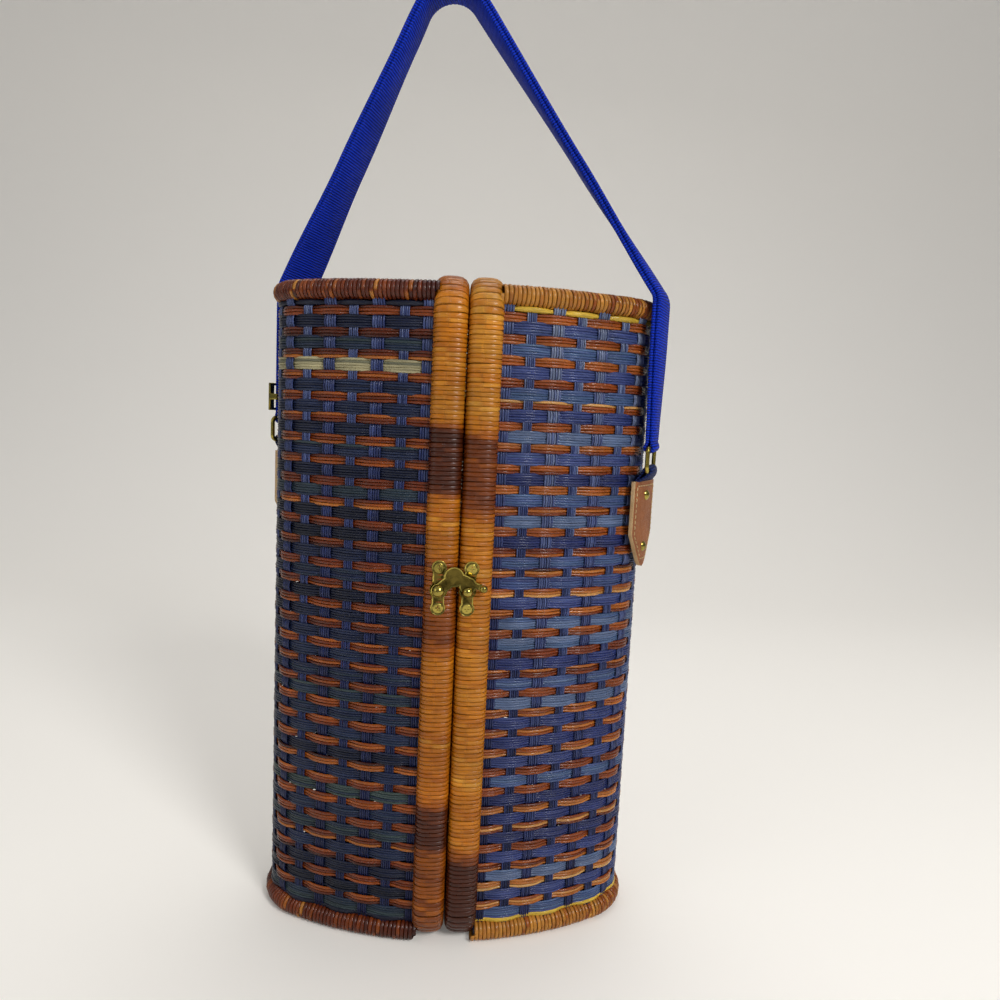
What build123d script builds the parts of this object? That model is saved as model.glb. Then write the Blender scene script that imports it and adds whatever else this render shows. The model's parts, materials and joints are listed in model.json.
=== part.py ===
from build123d import *
import math
import os

# Bottle carrier basket: two woven half shells that close on each other like a clamshell. They are
# hinged at the back, latched at the front and carried by a doubled webbing strap.
# Millimetres, +Z up. The front, with the latch, faces -Y. Left is -X.

# Basket body
BASKET_HEIGHT = 365.0
RIM_TOP = 361.0
WEAVE_HALF_WIDTH = 107.0
WEAVE_HALF_DEPTH = 52.0
WEAVE_THICKNESS = 4.0
PANEL_THICKNESS = 3.5
SIDE_RADIUS = 34.0

# Weave of the wall: rows of brown and of blue bundles, which pass over the upright stakes in turn
STAKES = 17
FIRST_STAKE = 10.7
ROWS = 30
TOP_ROW = 344.6
ROW_PITCH = 11.15
BROWN_ROW = 5.0
BLUE_ROW = 5.6
FLOOR_DEPTH = 1.7
BROWN_DEPTH = 0.3
BLUE_DEPTH = 0.65
BUNDLE_HALF_LENGTH = 4.8
BUNDLE_EASE = 2.8
HIDDEN_DEPTH = 3.0

# Wrapped pole frame around each half's opening
HALF_GAP = 0.3
FRAME_RADIUS = 8.75
FRAME_CORE_RADIUS = 6.25
FRAME_PROUD = 5.0
FRAME_BEND = 13.0
FLOOR_FLAT = 0.6

# Wrapped cane rims
RIM_RADIUS = 5.75
RIM_CORE_RADIUS = 3.5
RIM_PROUD = 2.5

# Brass fittings: plates sit in flats cut into the frame's binding
SEAT_DEPTH = 0.6
PLATE_THICKNESS = 1.2
PART_GAP = 0.3
SCREW_HEAD_RADIUS = 2.2
SCREW_SHANK_RADIUS = 1.1
SCREW_HEAD_HEIGHT = 1.1
SCREW_LENGTH = 9.0
SCREW_SLOT = 0.5

# Latch at the front
LATCH_HEIGHT = 202.4
HOOK_PIVOT_X = -10.0
STUD_X = 5.2
UPPER_SCREW_RISE = 12.0
LOWER_SCREW_DROP = 9.4
HOOK_THICKNESS = 1.4
HOOK_EYE_RADIUS = 3.9
HOOK_ARM_WIDTH = 6.4
HOOK_LOBE_RUN = 8.0
HOOK_LOBE_RISE = 7.6
HOOK_LOBE_RADIUS = 5.2
HOOK_SADDLE_RISE = 3.4
HOOK_SADDLE_RADIUS = 4.5
HOOK_TAIL_WIDTH = 3.2
BALL_RUN = 8.2
BALL_RISE = 2.0
BALL_RADIUS = 2.1
PIVOT_RADIUS = 1.6
PIVOT_CLEARANCE = 0.06
PIVOT_HEAD_RADIUS = 3.2
STUD_HEAD_RADIUS = 2.7
STUD_NECK_RADIUS = 1.4
HEAD_HEIGHT = 2.2
RIVET_DEPTH = 7.0

# Butt hinges at the back
HINGE_HEIGHTS = {"lower": 80.0, "upper": 285.0}
HINGE_LENGTH = 38.0
HINGE_AXIS_BEHIND = 2.1
KNUCKLE_RADIUS = 2.7
KNUCKLE_GAP = 0.4
LEAF_REACH = 15.5
PIN_RADIUS = 1.25
PIN_CLEARANCE = 0.05
PIN_HEAD_RADIUS = 2.0
PIN_HEAD_HEIGHT = 1.2
HINGE_SCREW_RISE = 11.0

# Side hardware: leather tab, webbing loop, wire ring and slider
HARDWARE_TURN = {"left": -40.0, "right": -33.0}
HARDWARE_DROP = {"left": 0.0, "right": 6.0}
RING_TWIST = {"left": 0.0, "right": 12.0}
TAB_TOP = 267.0
TAB_TAPER = 237.0
TAB_TIP = 218.0
TAB_HALF_WIDTH = 15.0
TAB_TIP_RADIUS = 4.0
TAB_THICKNESS = 2.8
TAB_CURVE_RADIUS = 60.0
TAB_RIVET_HEIGHTS = (259.0, 229.5)
TAB_RIVET_RADIUS = 3.0
TAB_RIVET_HEIGHT = 1.6
WEBBING_WIDTH = 25.0
WEBBING_LAYER = 1.4
TAIL_BOTTOM = 252.0
RING_RADIUS = 1.2
RING_HALF_WIDTH = 15.4
RING_LOW = 273.2
RING_HIGH = 286.2
RING_BEND = 2.6
SLIDER_LOW = 290.5
SLIDER_HIGH = 306.5
SLIDER_HALF_WIDTH = 16.0
SLIDER_PLATE = 1.5
SLIDER_BAR = 3.4

# Carry strap, doubled webbing
STRAP_STANDOFF = 112.2
STRAP_THICKNESS = 4.0
STRAP_LAYER = 1.7
STRAP_RIM_BEND_HEIGHT = 362.0
STRAP_RIM_BEND_RADIUS = 12.0
STRAP_CORNER = (-18.5, -3.0, 539.0)
STRAP_APEX_RADIUS = 18.0
STRAP_END_TOP = 372.0
STRAP_LEG_TOP = 430.0
STRAP_STEP = 9.0
LEFT_TWIST = ((350.0, -40.0), (366.0, -38.0), (430.0, -18.0), (498.0, -5.0), (525.0, 0.0))
RIGHT_TWIST = ((278.0, -21.0), (340.0, -27.0), (366.0, -27.0), (430.0, -14.0), (525.0, 0.0))

# Elastic band across each half that holds the bottle
BAND_HEIGHT = 215.0
BAND_WIDTH = 25.0
BAND_THICKNESS = 1.2
BAND_X = 5.0
BAND_FLANGE = 14.0
TACK_RADIUS = 1.0
TACK_HEAD_RADIUS = 2.4
TACK_SPREAD = 7.0

# Sizes worked out from the driving dimensions
SIDE_CENTRE = WEAVE_HALF_WIDTH - SIDE_RADIUS
FRONT_RADIUS = (SIDE_CENTRE**2 + WEAVE_HALF_DEPTH**2 - SIDE_RADIUS**2) / (
    2 * (WEAVE_HALF_DEPTH - SIDE_RADIUS)
)
FRONT_CENTRE = FRONT_RADIUS - WEAVE_HALF_DEPTH
SIDE_TURN = math.degrees(math.atan2(FRONT_CENTRE, SIDE_CENTRE))
FRAME_X = HALF_GAP + FRAME_RADIUS
FRONT_START = math.asin(FRAME_X / FRONT_RADIUS)
FRONT_RUN = (math.radians(90 - SIDE_TURN) - FRONT_START) * FRONT_RADIUS
SIDE_RUN = 2 * math.radians(SIDE_TURN) * SIDE_RADIUS
WALL_RUN = 2 * FRONT_RUN + SIDE_RUN
STAKE_PITCH = (WALL_RUN - 2 * FIRST_STAKE) / (STAKES - 1)
FRAME_Y = WEAVE_HALF_DEPTH + FRAME_PROUD - FRAME_RADIUS
FRAME_LOW = FRAME_RADIUS - FLOOR_FLAT
FRAME_HIGH = BASKET_HEIGHT - FRAME_RADIUS
FRAME_FACE = FRAME_Y + FRAME_RADIUS
RIM_OFFSET = RIM_PROUD - RIM_RADIUS
RIM_HIGH = RIM_TOP - RIM_RADIUS
RIM_LOW = RIM_RADIUS - FLOOR_FLAT
SEAT = FRAME_FACE - SEAT_DEPTH
PLATE_FACE = SEAT + PLATE_THICKNESS
HOOK_BACK = PLATE_FACE + PART_GAP
HOOK_FACE = HOOK_BACK + HOOK_THICKNESS
HEAD_BACK = HOOK_FACE + PART_GAP
HINGE_Y = FRAME_FACE + HINGE_AXIS_BEHIND


def oval(offset):
    """The basket's outline seen from above, moved outward by offset: four tangent arcs."""
    side = SIDE_RADIUS + offset
    front = FRONT_RADIUS + offset
    flat = 180 - 2 * SIDE_TURN
    arcs = [
        CenterArc((SIDE_CENTRE, 0), side, -SIDE_TURN, 2 * SIDE_TURN),
        CenterArc((0, -FRONT_CENTRE), front, SIDE_TURN, flat),
        CenterArc((-SIDE_CENTRE, 0), side, 180 - SIDE_TURN, 2 * SIDE_TURN),
        CenterArc((0, FRONT_CENTRE), front, 180 + SIDE_TURN, flat),
    ]
    return make_face(Curve() + arcs)


def slab(offset, low, high):
    """The oval outline as a plate between two heights."""
    return Pos(0, 0, low) * extrude(oval(offset), high - low)


def block(low, high):
    """A box between two corners."""
    size = [high[i] - low[i] for i in range(3)]
    middle = [(high[i] + low[i]) / 2 for i in range(3)]
    return Pos(*middle) * Box(*size)


def right_half():
    """The space of the right half, from the middle of its frame outward."""
    reach = 2 * WEAVE_HALF_WIDTH
    return block((FRAME_X, -reach, 0), (reach, reach, BASKET_HEIGHT))


def rod(start, end, radius):
    """A round rod between two points."""
    start = Vector(*start)
    run = Vector(*end) - start
    return extrude(Plane(start, z_dir=run) * Circle(radius), run.length)


def bend(centre, plane_x, plane_z, start, turn, major, minor):
    """Part of a torus about a centre, in the plane given by its X and Z directions."""
    plane = Plane(centre, x_dir=plane_x, z_dir=plane_z)
    none = (Align.NONE, Align.NONE, Align.NONE)
    return plane * Rot(0, 0, start) * Torus(major, minor, major_angle=turn, align=none)


def bar_loop(x, half_width, low, high, corner, radius):
    """A closed rectangle of round bar with bent corners, standing in the YZ plane at x."""
    solid = None
    inner = half_width - corner
    for side in (-1, 1):
        y = side * half_width
        upright = rod((x, y, low + corner), (x, y, high - corner), radius)
        solid = upright if solid is None else solid + upright
    for z in (low, high):
        solid = solid + rod((x, -inner, z), (x, inner, z), radius)
    corners = ((inner, high - corner), (-inner, high - corner))
    corners = corners + ((-inner, low + corner), (inner, low + corner))
    for step, (y, z) in enumerate(corners):
        solid = solid + bend((x, y, z), (0, 1, 0), (1, 0, 0), 90 * step, 90, corner, radius)
    return solid


def frame_loop(radius):
    """The right half's opening frame as a bent pole of a given radius."""
    return bar_loop(FRAME_X, FRAME_Y, FRAME_LOW, FRAME_HIGH, FRAME_BEND, radius)


def rim_ring(height, radius):
    """The right half's rim as round cane, from the front stile round to the back stile."""
    side = SIDE_RADIUS + RIM_OFFSET
    front = FRONT_RADIUS + RIM_OFFSET
    start = math.degrees(math.asin(FRAME_X / front))
    turn = 90 - SIDE_TURN - start
    x_dir = (1, 0, 0)
    z_dir = (0, 0, 1)
    back_centre = (0, -FRONT_CENTRE, height)
    front_centre = (0, FRONT_CENTRE, height)
    side_centre = (SIDE_CENTRE, 0, height)
    ring = bend(side_centre, x_dir, z_dir, -SIDE_TURN, 2 * SIDE_TURN, side, radius)
    ring = ring + bend(back_centre, x_dir, z_dir, SIDE_TURN, turn, front, radius)
    return ring + bend(front_centre, x_dir, z_dir, -SIDE_TURN - turn, turn, front, radius)


def above_floor(solid):
    """Cuts off what would reach below the resting face."""
    reach = 3 * WEAVE_HALF_WIDTH
    return solid - block((-reach, -reach, -reach), (reach, reach, 0))


def make_frame():
    """Bent pole and its binding of the right half, with flats where fittings sit."""
    outer = frame_loop(FRAME_RADIUS)
    core = frame_loop(FRAME_CORE_RADIUS)
    binding = above_floor(outer - core)
    for height in HINGE_HEIGHTS.values():
        half = HINGE_LENGTH / 2 + PART_GAP
        low = (0, SEAT, height - half)
        high = (2 * FRAME_X, 2 * FRAME_FACE, height + half)
        binding = binding - block(low, high)
    low = (0, -2 * FRAME_FACE, LATCH_HEIGHT - 2 * LOWER_SCREW_DROP)
    high = (2 * FRAME_X, -SEAT, LATCH_HEIGHT + 2 * UPPER_SCREW_RISE)
    return core, binding - block(low, high)


def make_rims():
    """Cores and bindings of the right half's two rims."""
    outer = frame_loop(FRAME_RADIUS)
    rims = {}
    for name, height in (("top", RIM_HIGH), ("bottom", RIM_LOW)):
        core = rim_ring(height, RIM_CORE_RADIUS)
        full = above_floor(rim_ring(height, RIM_RADIUS) - outer)
        rims[name] = (core - outer, full - core)
    return rims


def wall_point(along, depth):
    """A point of the right half's wall, at a length along it from the front and a depth in it."""
    if FRONT_RUN <= along <= FRONT_RUN + SIDE_RUN:
        reach = SIDE_RADIUS - depth
        angle = (along - FRONT_RUN) / SIDE_RADIUS - math.radians(SIDE_TURN)
        return (SIDE_CENTRE + reach * math.cos(angle), reach * math.sin(angle))
    reach = FRONT_RADIUS - depth
    facing = -1 if along < FRONT_RUN else 1
    angle = FRONT_START + min(along, WALL_RUN - along) / FRONT_RADIUS
    return (reach * math.sin(angle), facing * (reach * math.cos(angle) - FRONT_CENTRE))


def wall_plate(stations, height):
    """A plate out to the wall, whose edge lies at given lengths along it and depths in it."""
    points = [wall_point(along, depth) for along, depth in stations]
    front = (0, points[0][1])
    back = (0, points[-1][1])
    return extrude(make_face(Polyline(front, *points, back, close=True)), height)


def stake_places():
    """The lengths along the wall at which its stakes stand."""
    return [FIRST_STAKE + index * STAKE_PITCH for index in range(STAKES)]


def weave_ground():
    """The wall from rim to rim below its bundles, with one flat face for each stake."""
    stations = [(0, FLOOR_DEPTH)]
    for place in stake_places()[1:]:
        stations.append((place - STAKE_PITCH / 2, FLOOR_DEPTH))
    stations.append((WALL_RUN, FLOOR_DEPTH))
    return Pos(0, 0, RIM_LOW) * wall_plate(stations, RIM_HIGH - RIM_LOW)


def weft_row(first, depth, height):
    """One row of bundles that lie over every second stake and go behind the others."""
    stations = [(0, HIDDEN_DEPTH)]
    end = BUNDLE_HALF_LENGTH + BUNDLE_EASE
    for index, place in enumerate(stake_places()):
        if index % 2 == first:
            stations.append((place - end, HIDDEN_DEPTH))
            stations.append((place - BUNDLE_HALF_LENGTH, depth))
            stations.append((place + BUNDLE_HALF_LENGTH, depth))
            stations.append((place + end, HIDDEN_DEPTH))
    stations.append((WALL_RUN, HIDDEN_DEPTH))
    return Pos(0, 0, -height / 2) * wall_plate(stations, height)


def make_wall():
    """The right half's woven wall, with the rows of bundles standing out of its ground."""
    brown = weft_row(0, BROWN_DEPTH, BROWN_ROW)
    blue = weft_row(1, BLUE_DEPTH, BLUE_ROW)
    rows = []
    for index in range(ROWS):
        height = TOP_ROW - index * ROW_PITCH
        rows.append(Pos(0, 0, height) * brown)
        rows.append(Pos(0, 0, height - ROW_PITCH / 2) * blue)
    return weave_ground().fuse(*rows) - slab(-WEAVE_THICKNESS, RIM_LOW, RIM_HIGH)


def make_weave():
    """Wall and end panels of the right half, cut to meet the frame and the rims."""
    half = right_half()
    outer = frame_loop(FRAME_RADIUS)
    top = rim_ring(RIM_HIGH, RIM_RADIUS)
    bottom = rim_ring(RIM_LOW, RIM_RADIUS)
    wall = (make_wall() & half) - outer - top - bottom
    panels = []
    for height, rim in ((RIM_HIGH, top), (RIM_LOW, bottom)):
        low = height - PANEL_THICKNESS / 2
        panel = slab(RIM_OFFSET, low, low + PANEL_THICKNESS) & half
        panels.append(largest(panel - outer - rim))
    return largest(wall), panels[0], panels[1]


def largest(shape):
    """The biggest solid of a cut shape."""
    return max(shape.solids(), key=lambda solid: solid.volume)


def screw(x, y, z, facing):
    """A countersunk cross-head screw whose head is flush at y, facing -Y or +Y."""
    plane = Plane((x, y, z), z_dir=(0, facing, 0))
    head = loft(
        [
            Circle(SCREW_HEAD_RADIUS),
            Pos(0, 0, -SCREW_HEAD_HEIGHT) * Circle(SCREW_SHANK_RADIUS),
        ]
    )
    shank = Pos(0, 0, -SCREW_LENGTH) * extrude(Circle(SCREW_SHANK_RADIUS), SCREW_LENGTH)
    return plane * (head + shank)


def slotted(body, x, y, z, facing):
    """A screw with its cross slot cut."""
    plane = Plane((x, y, z), z_dir=(0, facing, 0))
    for turn in (0, 90):
        slot = Rot(0, 0, turn) * Box(2.6, 0.6, 2 * SCREW_SLOT)
        body = body - plane * slot
    return body


def dome(radius, height):
    """A round rivet head that stands on the XY plane."""
    sphere = (radius**2 + height**2) / (2 * height)
    cap = Pos(0, 0, height - sphere) * Sphere(sphere)
    return cap & block((-radius, -radius, 0), (radius, radius, height))


def disc(x, z, radius):
    """A circle of an outline in the XZ plane, seen from the front."""
    return Pos(x, z) * Circle(radius)


def strip(x1, z1, x2, z2, width):
    """A straight bar of an outline in the XZ plane."""
    length = math.hypot(x2 - x1, z2 - z1)
    angle = math.degrees(math.atan2(z2 - z1, x2 - x1))
    return Pos((x1 + x2) / 2, (z1 + z2) / 2) * Rot(0, 0, angle) * Rectangle(length, width)


def front_plate(outline, back, face):
    """An outline of the XZ plane as a plate between two depths in front of the basket."""
    plane = Plane((0, -back, 0), x_dir=(1, 0, 0), z_dir=(0, -1, 0))
    return plane * extrude(outline, face - back)


def make_latch():
    """Plates, screws, pivot rivet, swing hook and catch stud at the front."""
    z = LATCH_HEIGHT
    upper = z + UPPER_SCREW_RISE
    lower = z - LOWER_SCREW_DROP
    px = HOOK_PIVOT_X
    sx = STUD_X
    plate = disc(px, upper, 3.9) + disc(px, z, 4.6) + disc(px, lower, 3.9)
    plate = plate + strip(px, lower, px, upper, 6.4)
    catch = disc(sx + 1.8, upper, 3.9) + disc(sx, z, 4.4) + disc(sx, lower, 3.9)
    catch = catch + strip(sx, lower, sx, z, 6.2) + strip(sx, z, sx + 1.8, upper, 6.2)
    plate = front_plate(plate, SEAT, PLATE_FACE)
    catch = front_plate(catch, SEAT, PLATE_FACE)

    screws = {"latch_plate": [], "catch_plate": []}
    places = (
        ("latch_plate", px, upper),
        ("latch_plate", px, lower),
        ("catch_plate", sx + 1.8, upper),
        ("catch_plate", sx, lower),
    )
    for name, x, height in places:
        body = screw(x, -PLATE_FACE, height, -1)
        if name == "latch_plate":
            plate = plate - body
        else:
            catch = catch - body
        screws[name].append(slotted(body, x, -PLATE_FACE, height, -1))

    facing = Plane((px, -HEAD_BACK, z), z_dir=(0, -1, 0))
    pivot = facing * dome(PIVOT_HEAD_RADIUS, HEAD_HEIGHT)
    pivot = pivot + rod((px, -PLATE_FACE + RIVET_DEPTH, z), (px, -HEAD_BACK, z), PIVOT_RADIUS)
    facing = Plane((sx, -HEAD_BACK, z), z_dir=(0, -1, 0))
    stud = facing * dome(STUD_HEAD_RADIUS, HEAD_HEIGHT)
    neck_start = (sx, -PLATE_FACE + RIVET_DEPTH, z)
    stud = stud + rod(neck_start, (sx, -HEAD_BACK, z), STUD_NECK_RADIUS)
    plate = plate - rod((px, 0, z), (px, -2 * SEAT, z), PIVOT_RADIUS)
    catch = catch - rod((sx, 0, z), (sx, -2 * SEAT, z), STUD_NECK_RADIUS)
    return plate, catch, screws, pivot, stud, make_hook()


def make_hook():
    """The swing hook: eye, round lobe, notch over the stud and a ball at its end."""
    z = LATCH_HEIGHT
    px = HOOK_PIVOT_X
    sx = STUD_X
    lobe_x = px + HOOK_LOBE_RUN
    lobe_z = z + HOOK_LOBE_RISE
    saddle_z = z + HOOK_SADDLE_RISE
    ball_x = sx + BALL_RUN
    ball_z = z + BALL_RISE
    outline = disc(px, z, HOOK_EYE_RADIUS) + disc(lobe_x, lobe_z, HOOK_LOBE_RADIUS)
    outline = outline + disc(sx, saddle_z, HOOK_SADDLE_RADIUS)
    outline = outline + strip(px, z, lobe_x, lobe_z, HOOK_ARM_WIDTH)
    outline = outline + strip(lobe_x, lobe_z, sx, saddle_z + HOOK_TAIL_WIDTH / 2, HOOK_ARM_WIDTH)
    outline = outline + strip(sx, saddle_z + HOOK_TAIL_WIDTH / 2, ball_x, ball_z, HOOK_TAIL_WIDTH)
    notch = STUD_NECK_RADIUS + PART_GAP
    slot = 2 * HOOK_SADDLE_RADIUS
    outline = outline - disc(sx, z, notch) - Pos(sx, z - slot / 2) * Rectangle(2 * notch, slot)
    hook = front_plate(outline, HOOK_BACK, HOOK_FACE)
    hole = rod((px, 0, z), (px, -2 * SEAT, z), PIVOT_RADIUS + PIVOT_CLEARANCE)
    ball = Pos(ball_x, -HOOK_BACK - BALL_RADIUS, ball_z) * Sphere(BALL_RADIUS)
    return hook - hole + ball


def make_leaf(height, side):
    """One brass leaf with its knuckles. The left leaf carries the outer two knuckles."""
    low = height - HINGE_LENGTH / 2
    third = HINGE_LENGTH / 3
    clear = KNUCKLE_RADIUS + KNUCKLE_GAP
    edge = side * LEAF_REACH
    plate = block((min(0, edge), SEAT, low), (max(0, edge), PLATE_FACE, low + HINGE_LENGTH))
    own = (1,) if side > 0 else (0, 2)
    for index in range(3):
        start = low + index * third
        if index in own:
            top = start + third - (KNUCKLE_GAP if index < 2 else 0)
            bottom = start + (KNUCKLE_GAP if index > 0 else 0)
            plate = plate + rod((0, HINGE_Y, bottom), (0, HINGE_Y, top), KNUCKLE_RADIUS)
        else:
            gap = KNUCKLE_GAP / 2
            room = block((-clear, SEAT - 1, start - gap), (clear, HINGE_Y, start + third + gap))
            plate = plate - room
    bore = rod((0, HINGE_Y, low - 1), (0, HINGE_Y, low + HINGE_LENGTH + 1), PIN_RADIUS + PIN_CLEARANCE)
    return largest(plate - bore)


def make_hinges():
    """Leaves, screws and pins of both butt hinges."""
    leaves = {}
    screws = {"left": [], "right": []}
    pins = []
    middle = (LEAF_REACH + KNUCKLE_RADIUS) / 2
    for level, height in HINGE_HEIGHTS.items():
        for name, side in (("left", -1), ("right", 1)):
            leaf = make_leaf(height, side)
            for rise in (-HINGE_SCREW_RISE, HINGE_SCREW_RISE):
                x = side * middle
                body = screw(x, PLATE_FACE, height + rise, 1)
                leaf = leaf - body
                screws[name].append(slotted(body, x, PLATE_FACE, height + rise, 1))
            leaves[f"{level}_hinge_{name}_leaf"] = leaf
        low = height - HINGE_LENGTH / 2 - PART_GAP
        high = height + HINGE_LENGTH / 2 + PART_GAP
        pin = rod((0, HINGE_Y, low), (0, HINGE_Y, high), PIN_RADIUS)
        pin = pin + Pos(0, HINGE_Y, high) * dome(PIN_HEAD_RADIUS, PIN_HEAD_HEIGHT)
        pin = pin + Pos(0, HINGE_Y, low) * Rot(180, 0, 0) * dome(PIN_HEAD_RADIUS, PIN_HEAD_HEIGHT)
        pins.append(pin)
    return leaves, screws, pins


def side_profile(points):
    """A closed outline in the XZ plane, as a face."""
    wire = Polyline(*[(x, 0, z) for x, z in points], close=True)
    return make_face(wire)


def across(profile, width):
    """A profile of the XZ plane extruded evenly to both sides along Y."""
    return extrude(profile, width / 2, dir=(0, 1, 0), both=True)


def make_tab_loop(side):
    """Webbing loop that holds the ring: a tail behind the tab, and an eye round the lower bar."""
    wall = WEAVE_HALF_WIDTH + 0.1
    tail = wall + WEBBING_LAYER
    eye = RING_RADIUS + PART_GAP
    outer = eye + WEBBING_LAYER
    x = STRAP_STANDOFF
    neck = side_profile(
        (
            (wall, TAIL_BOTTOM),
            (tail, TAIL_BOTTOM),
            (tail, TAB_TOP - 1.5),
            (x + outer * 0.7, RING_LOW - outer * 0.7),
            (x - outer * 0.7, RING_LOW + outer * 0.7),
            (wall, TAB_TOP + 1.5),
        )
    )
    loop = across(neck, WEBBING_WIDTH)
    half = WEBBING_WIDTH / 2
    loop = loop + twisted(rod((x, -half, RING_LOW), (x, half, RING_LOW), outer), side)
    hole = rod((x, -half - 3, RING_LOW), (x, half + 3, RING_LOW), eye)
    return largest(loop - twisted(hole, side))


def make_tab(loop):
    """Leather tab: bent less than the wall, pointed at its foot, over the webbing's tail."""
    inner_x = WEAVE_HALF_WIDTH + 0.1 + WEBBING_LAYER
    centre = inner_x - TAB_CURVE_RADIUS
    outer = Cylinder(TAB_CURVE_RADIUS + TAB_THICKNESS, 2 * BASKET_HEIGHT)
    inner = Cylinder(TAB_CURVE_RADIUS, 2 * BASKET_HEIGHT)
    bent = Pos(centre, 0, 0) * (outer - inner)
    half = TAB_HALF_WIDTH
    tip = TAB_TIP + TAB_TIP_RADIUS
    points = [(-half, TAB_TOP), (-half, TAB_TAPER), (-TAB_TIP_RADIUS, tip)]
    outline = Polyline(*points) + ThreePointArc(
        (-TAB_TIP_RADIUS, tip), (0, TAB_TIP), (TAB_TIP_RADIUS, tip)
    )
    outline = outline + Polyline((TAB_TIP_RADIUS, tip), (half, TAB_TAPER), (half, TAB_TOP))
    outline = outline + Line((half, TAB_TOP), (-half, TAB_TOP))
    plane = Plane((SIDE_CENTRE, 0, 0), x_dir=(0, 1, 0), z_dir=(1, 0, 0))
    prism = plane * extrude(make_face(outline), WEAVE_HALF_WIDTH)
    return largest((bent & prism) - loop)


def make_tab_rivets():
    """Two domed rivets through the tab into the wall."""
    face = WEAVE_HALF_WIDTH + 0.1 + WEBBING_LAYER + TAB_THICKNESS
    rivets = []
    for height in TAB_RIVET_HEIGHTS:
        plane = Plane((face, 0, height), z_dir=(1, 0, 0))
        rivet = plane * dome(TAB_RIVET_RADIUS, TAB_RIVET_HEIGHT)
        inside = WEAVE_HALF_WIDTH - WEAVE_THICKNESS - 1.0
        rivet = rivet + rod((inside, 0, height), (face, 0, height), PIN_RADIUS)
        clench = rod((inside, 0, height), (inside + 0.9, 0, height), TAB_RIVET_RADIUS)
        rivets.append(rivet + clench)
    return rivets


def make_ring():
    """Rectangular wire ring between the webbing loop and the strap."""
    return bar_loop(STRAP_STANDOFF, RING_HALF_WIDTH, RING_LOW, RING_HIGH, RING_BEND, RING_RADIUS)


def make_slider():
    """Strap slider: a plate with two windows in front, and a back bar held by two cheeks."""
    half = SLIDER_HALF_WIDTH
    strap_out = STRAP_STANDOFF + STRAP_THICKNESS / 2 + PART_GAP
    strap_in = STRAP_STANDOFF - STRAP_THICKNESS / 2 - PART_GAP
    front = strap_out + SLIDER_PLATE
    back = strap_in - SLIDER_PLATE
    middle = (SLIDER_LOW + SLIDER_HIGH) / 2
    opening = WEBBING_WIDTH / 2 + PART_GAP
    plate = block((strap_out, -half, SLIDER_LOW), (front, half, SLIDER_HIGH))
    reach = (SLIDER_HIGH - SLIDER_LOW) / 2 - SLIDER_PLATE
    for side in (-1, 1):
        near = middle + side * SLIDER_BAR / 2
        far = middle + side * reach
        window = block((0, -opening, min(near, far)), (front + 1, opening, max(near, far)))
        plate = plate - window
    low = middle - SLIDER_BAR / 2
    high = middle + SLIDER_BAR / 2
    sleeve = block((back, -half, low), (front, half, high))
    return plate + (sleeve - block((strap_in, -opening, low - 1), (strap_out, opening, high + 1)))


def placed(shape, side):
    """Side hardware of the right side, put on its place on the left or right side."""
    sign = -1 if side == "left" else 1
    if side == "left":
        shape = shape.mirror(Plane.YZ)
    centre = (sign * SIDE_CENTRE, 0, 0)
    turned = shape.rotate(Axis(centre, (0, 0, 1)), HARDWARE_TURN[side])
    return Pos(0, 0, -HARDWARE_DROP[side]) * turned


def twisted(shape, side):
    """A shape that goes with the ring, turned about the upright line through the ring."""
    return shape.rotate(Axis((STRAP_STANDOFF, 0, 0), (0, 0, 1)), RING_TWIST[side])


def hardware_point(side, x, z):
    """A point of the side hardware's middle plane, after it is turned to its place."""
    sign = -1 if side == "left" else 1
    turn = math.radians(HARDWARE_TURN[side])
    reach = sign * (x - SIDE_CENTRE)
    return (sign * SIDE_CENTRE + reach * math.cos(turn), reach * math.sin(turn), z)


def strap_path():
    """The middle line of the doubled strap, from the left ring over the apex to the right ring."""
    corners = [
        hardware_point("left", STRAP_STANDOFF, RING_HIGH - HARDWARE_DROP["left"]),
        hardware_point("left", STRAP_STANDOFF, STRAP_RIM_BEND_HEIGHT),
        STRAP_CORNER,
        hardware_point("right", STRAP_STANDOFF, STRAP_RIM_BEND_HEIGHT),
        hardware_point("right", STRAP_STANDOFF, RING_HIGH - HARDWARE_DROP["right"]),
    ]
    radii = [STRAP_RIM_BEND_RADIUS, STRAP_APEX_RADIUS, STRAP_RIM_BEND_RADIUS]
    return FilletPolyline(*corners, radius=radii)


def twist_at(place, stations):
    """The strap's turn about the vertical at a height, eased between the stations."""
    for (low, start), (high, end) in zip(stations, stations[1:]):
        if place < high:
            share = min(1.0, max(0.0, (place - low) / (high - low)))
            share = share * share * (3 - 2 * share)
            return start + (end - start) * share
    return stations[-1][1]


def strap_section(path, share):
    """The strap's rectangular section at a share of the path's length."""
    point = path @ share
    run = path % share
    stations = LEFT_TWIST if point.X < STRAP_CORNER[0] else RIGHT_TWIST
    turn = math.radians(twist_at(point.Z, stations))
    wide = Vector(math.sin(turn), -math.cos(turn), 0)
    wide = wide - run * wide.dot(run)
    plane = Plane(point, x_dir=wide, z_dir=run)
    return plane * Rectangle(WEBBING_WIDTH, STRAP_THICKNESS)


def share_at_height(path, side, height):
    """Where the strap's left or right run passes a height, found by halving."""
    apex = 0.5
    low, high = (0.0, apex) if side == "left" else (1.0, apex)
    for _ in range(40):
        middle = (low + high) / 2
        if (path @ middle).Z < height:
            low = middle
        else:
            high = middle
    return low


def strap_run(path, start, end):
    """A stretch of the strap between two shares of its path, through flat sections."""
    count = max(2, math.ceil(abs(end - start) * path.length / STRAP_STEP))
    shares = [start + (end - start) * index / count for index in range(count + 1)]
    return loft([strap_section(path, share) for share in shares], ruled=True)


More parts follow.
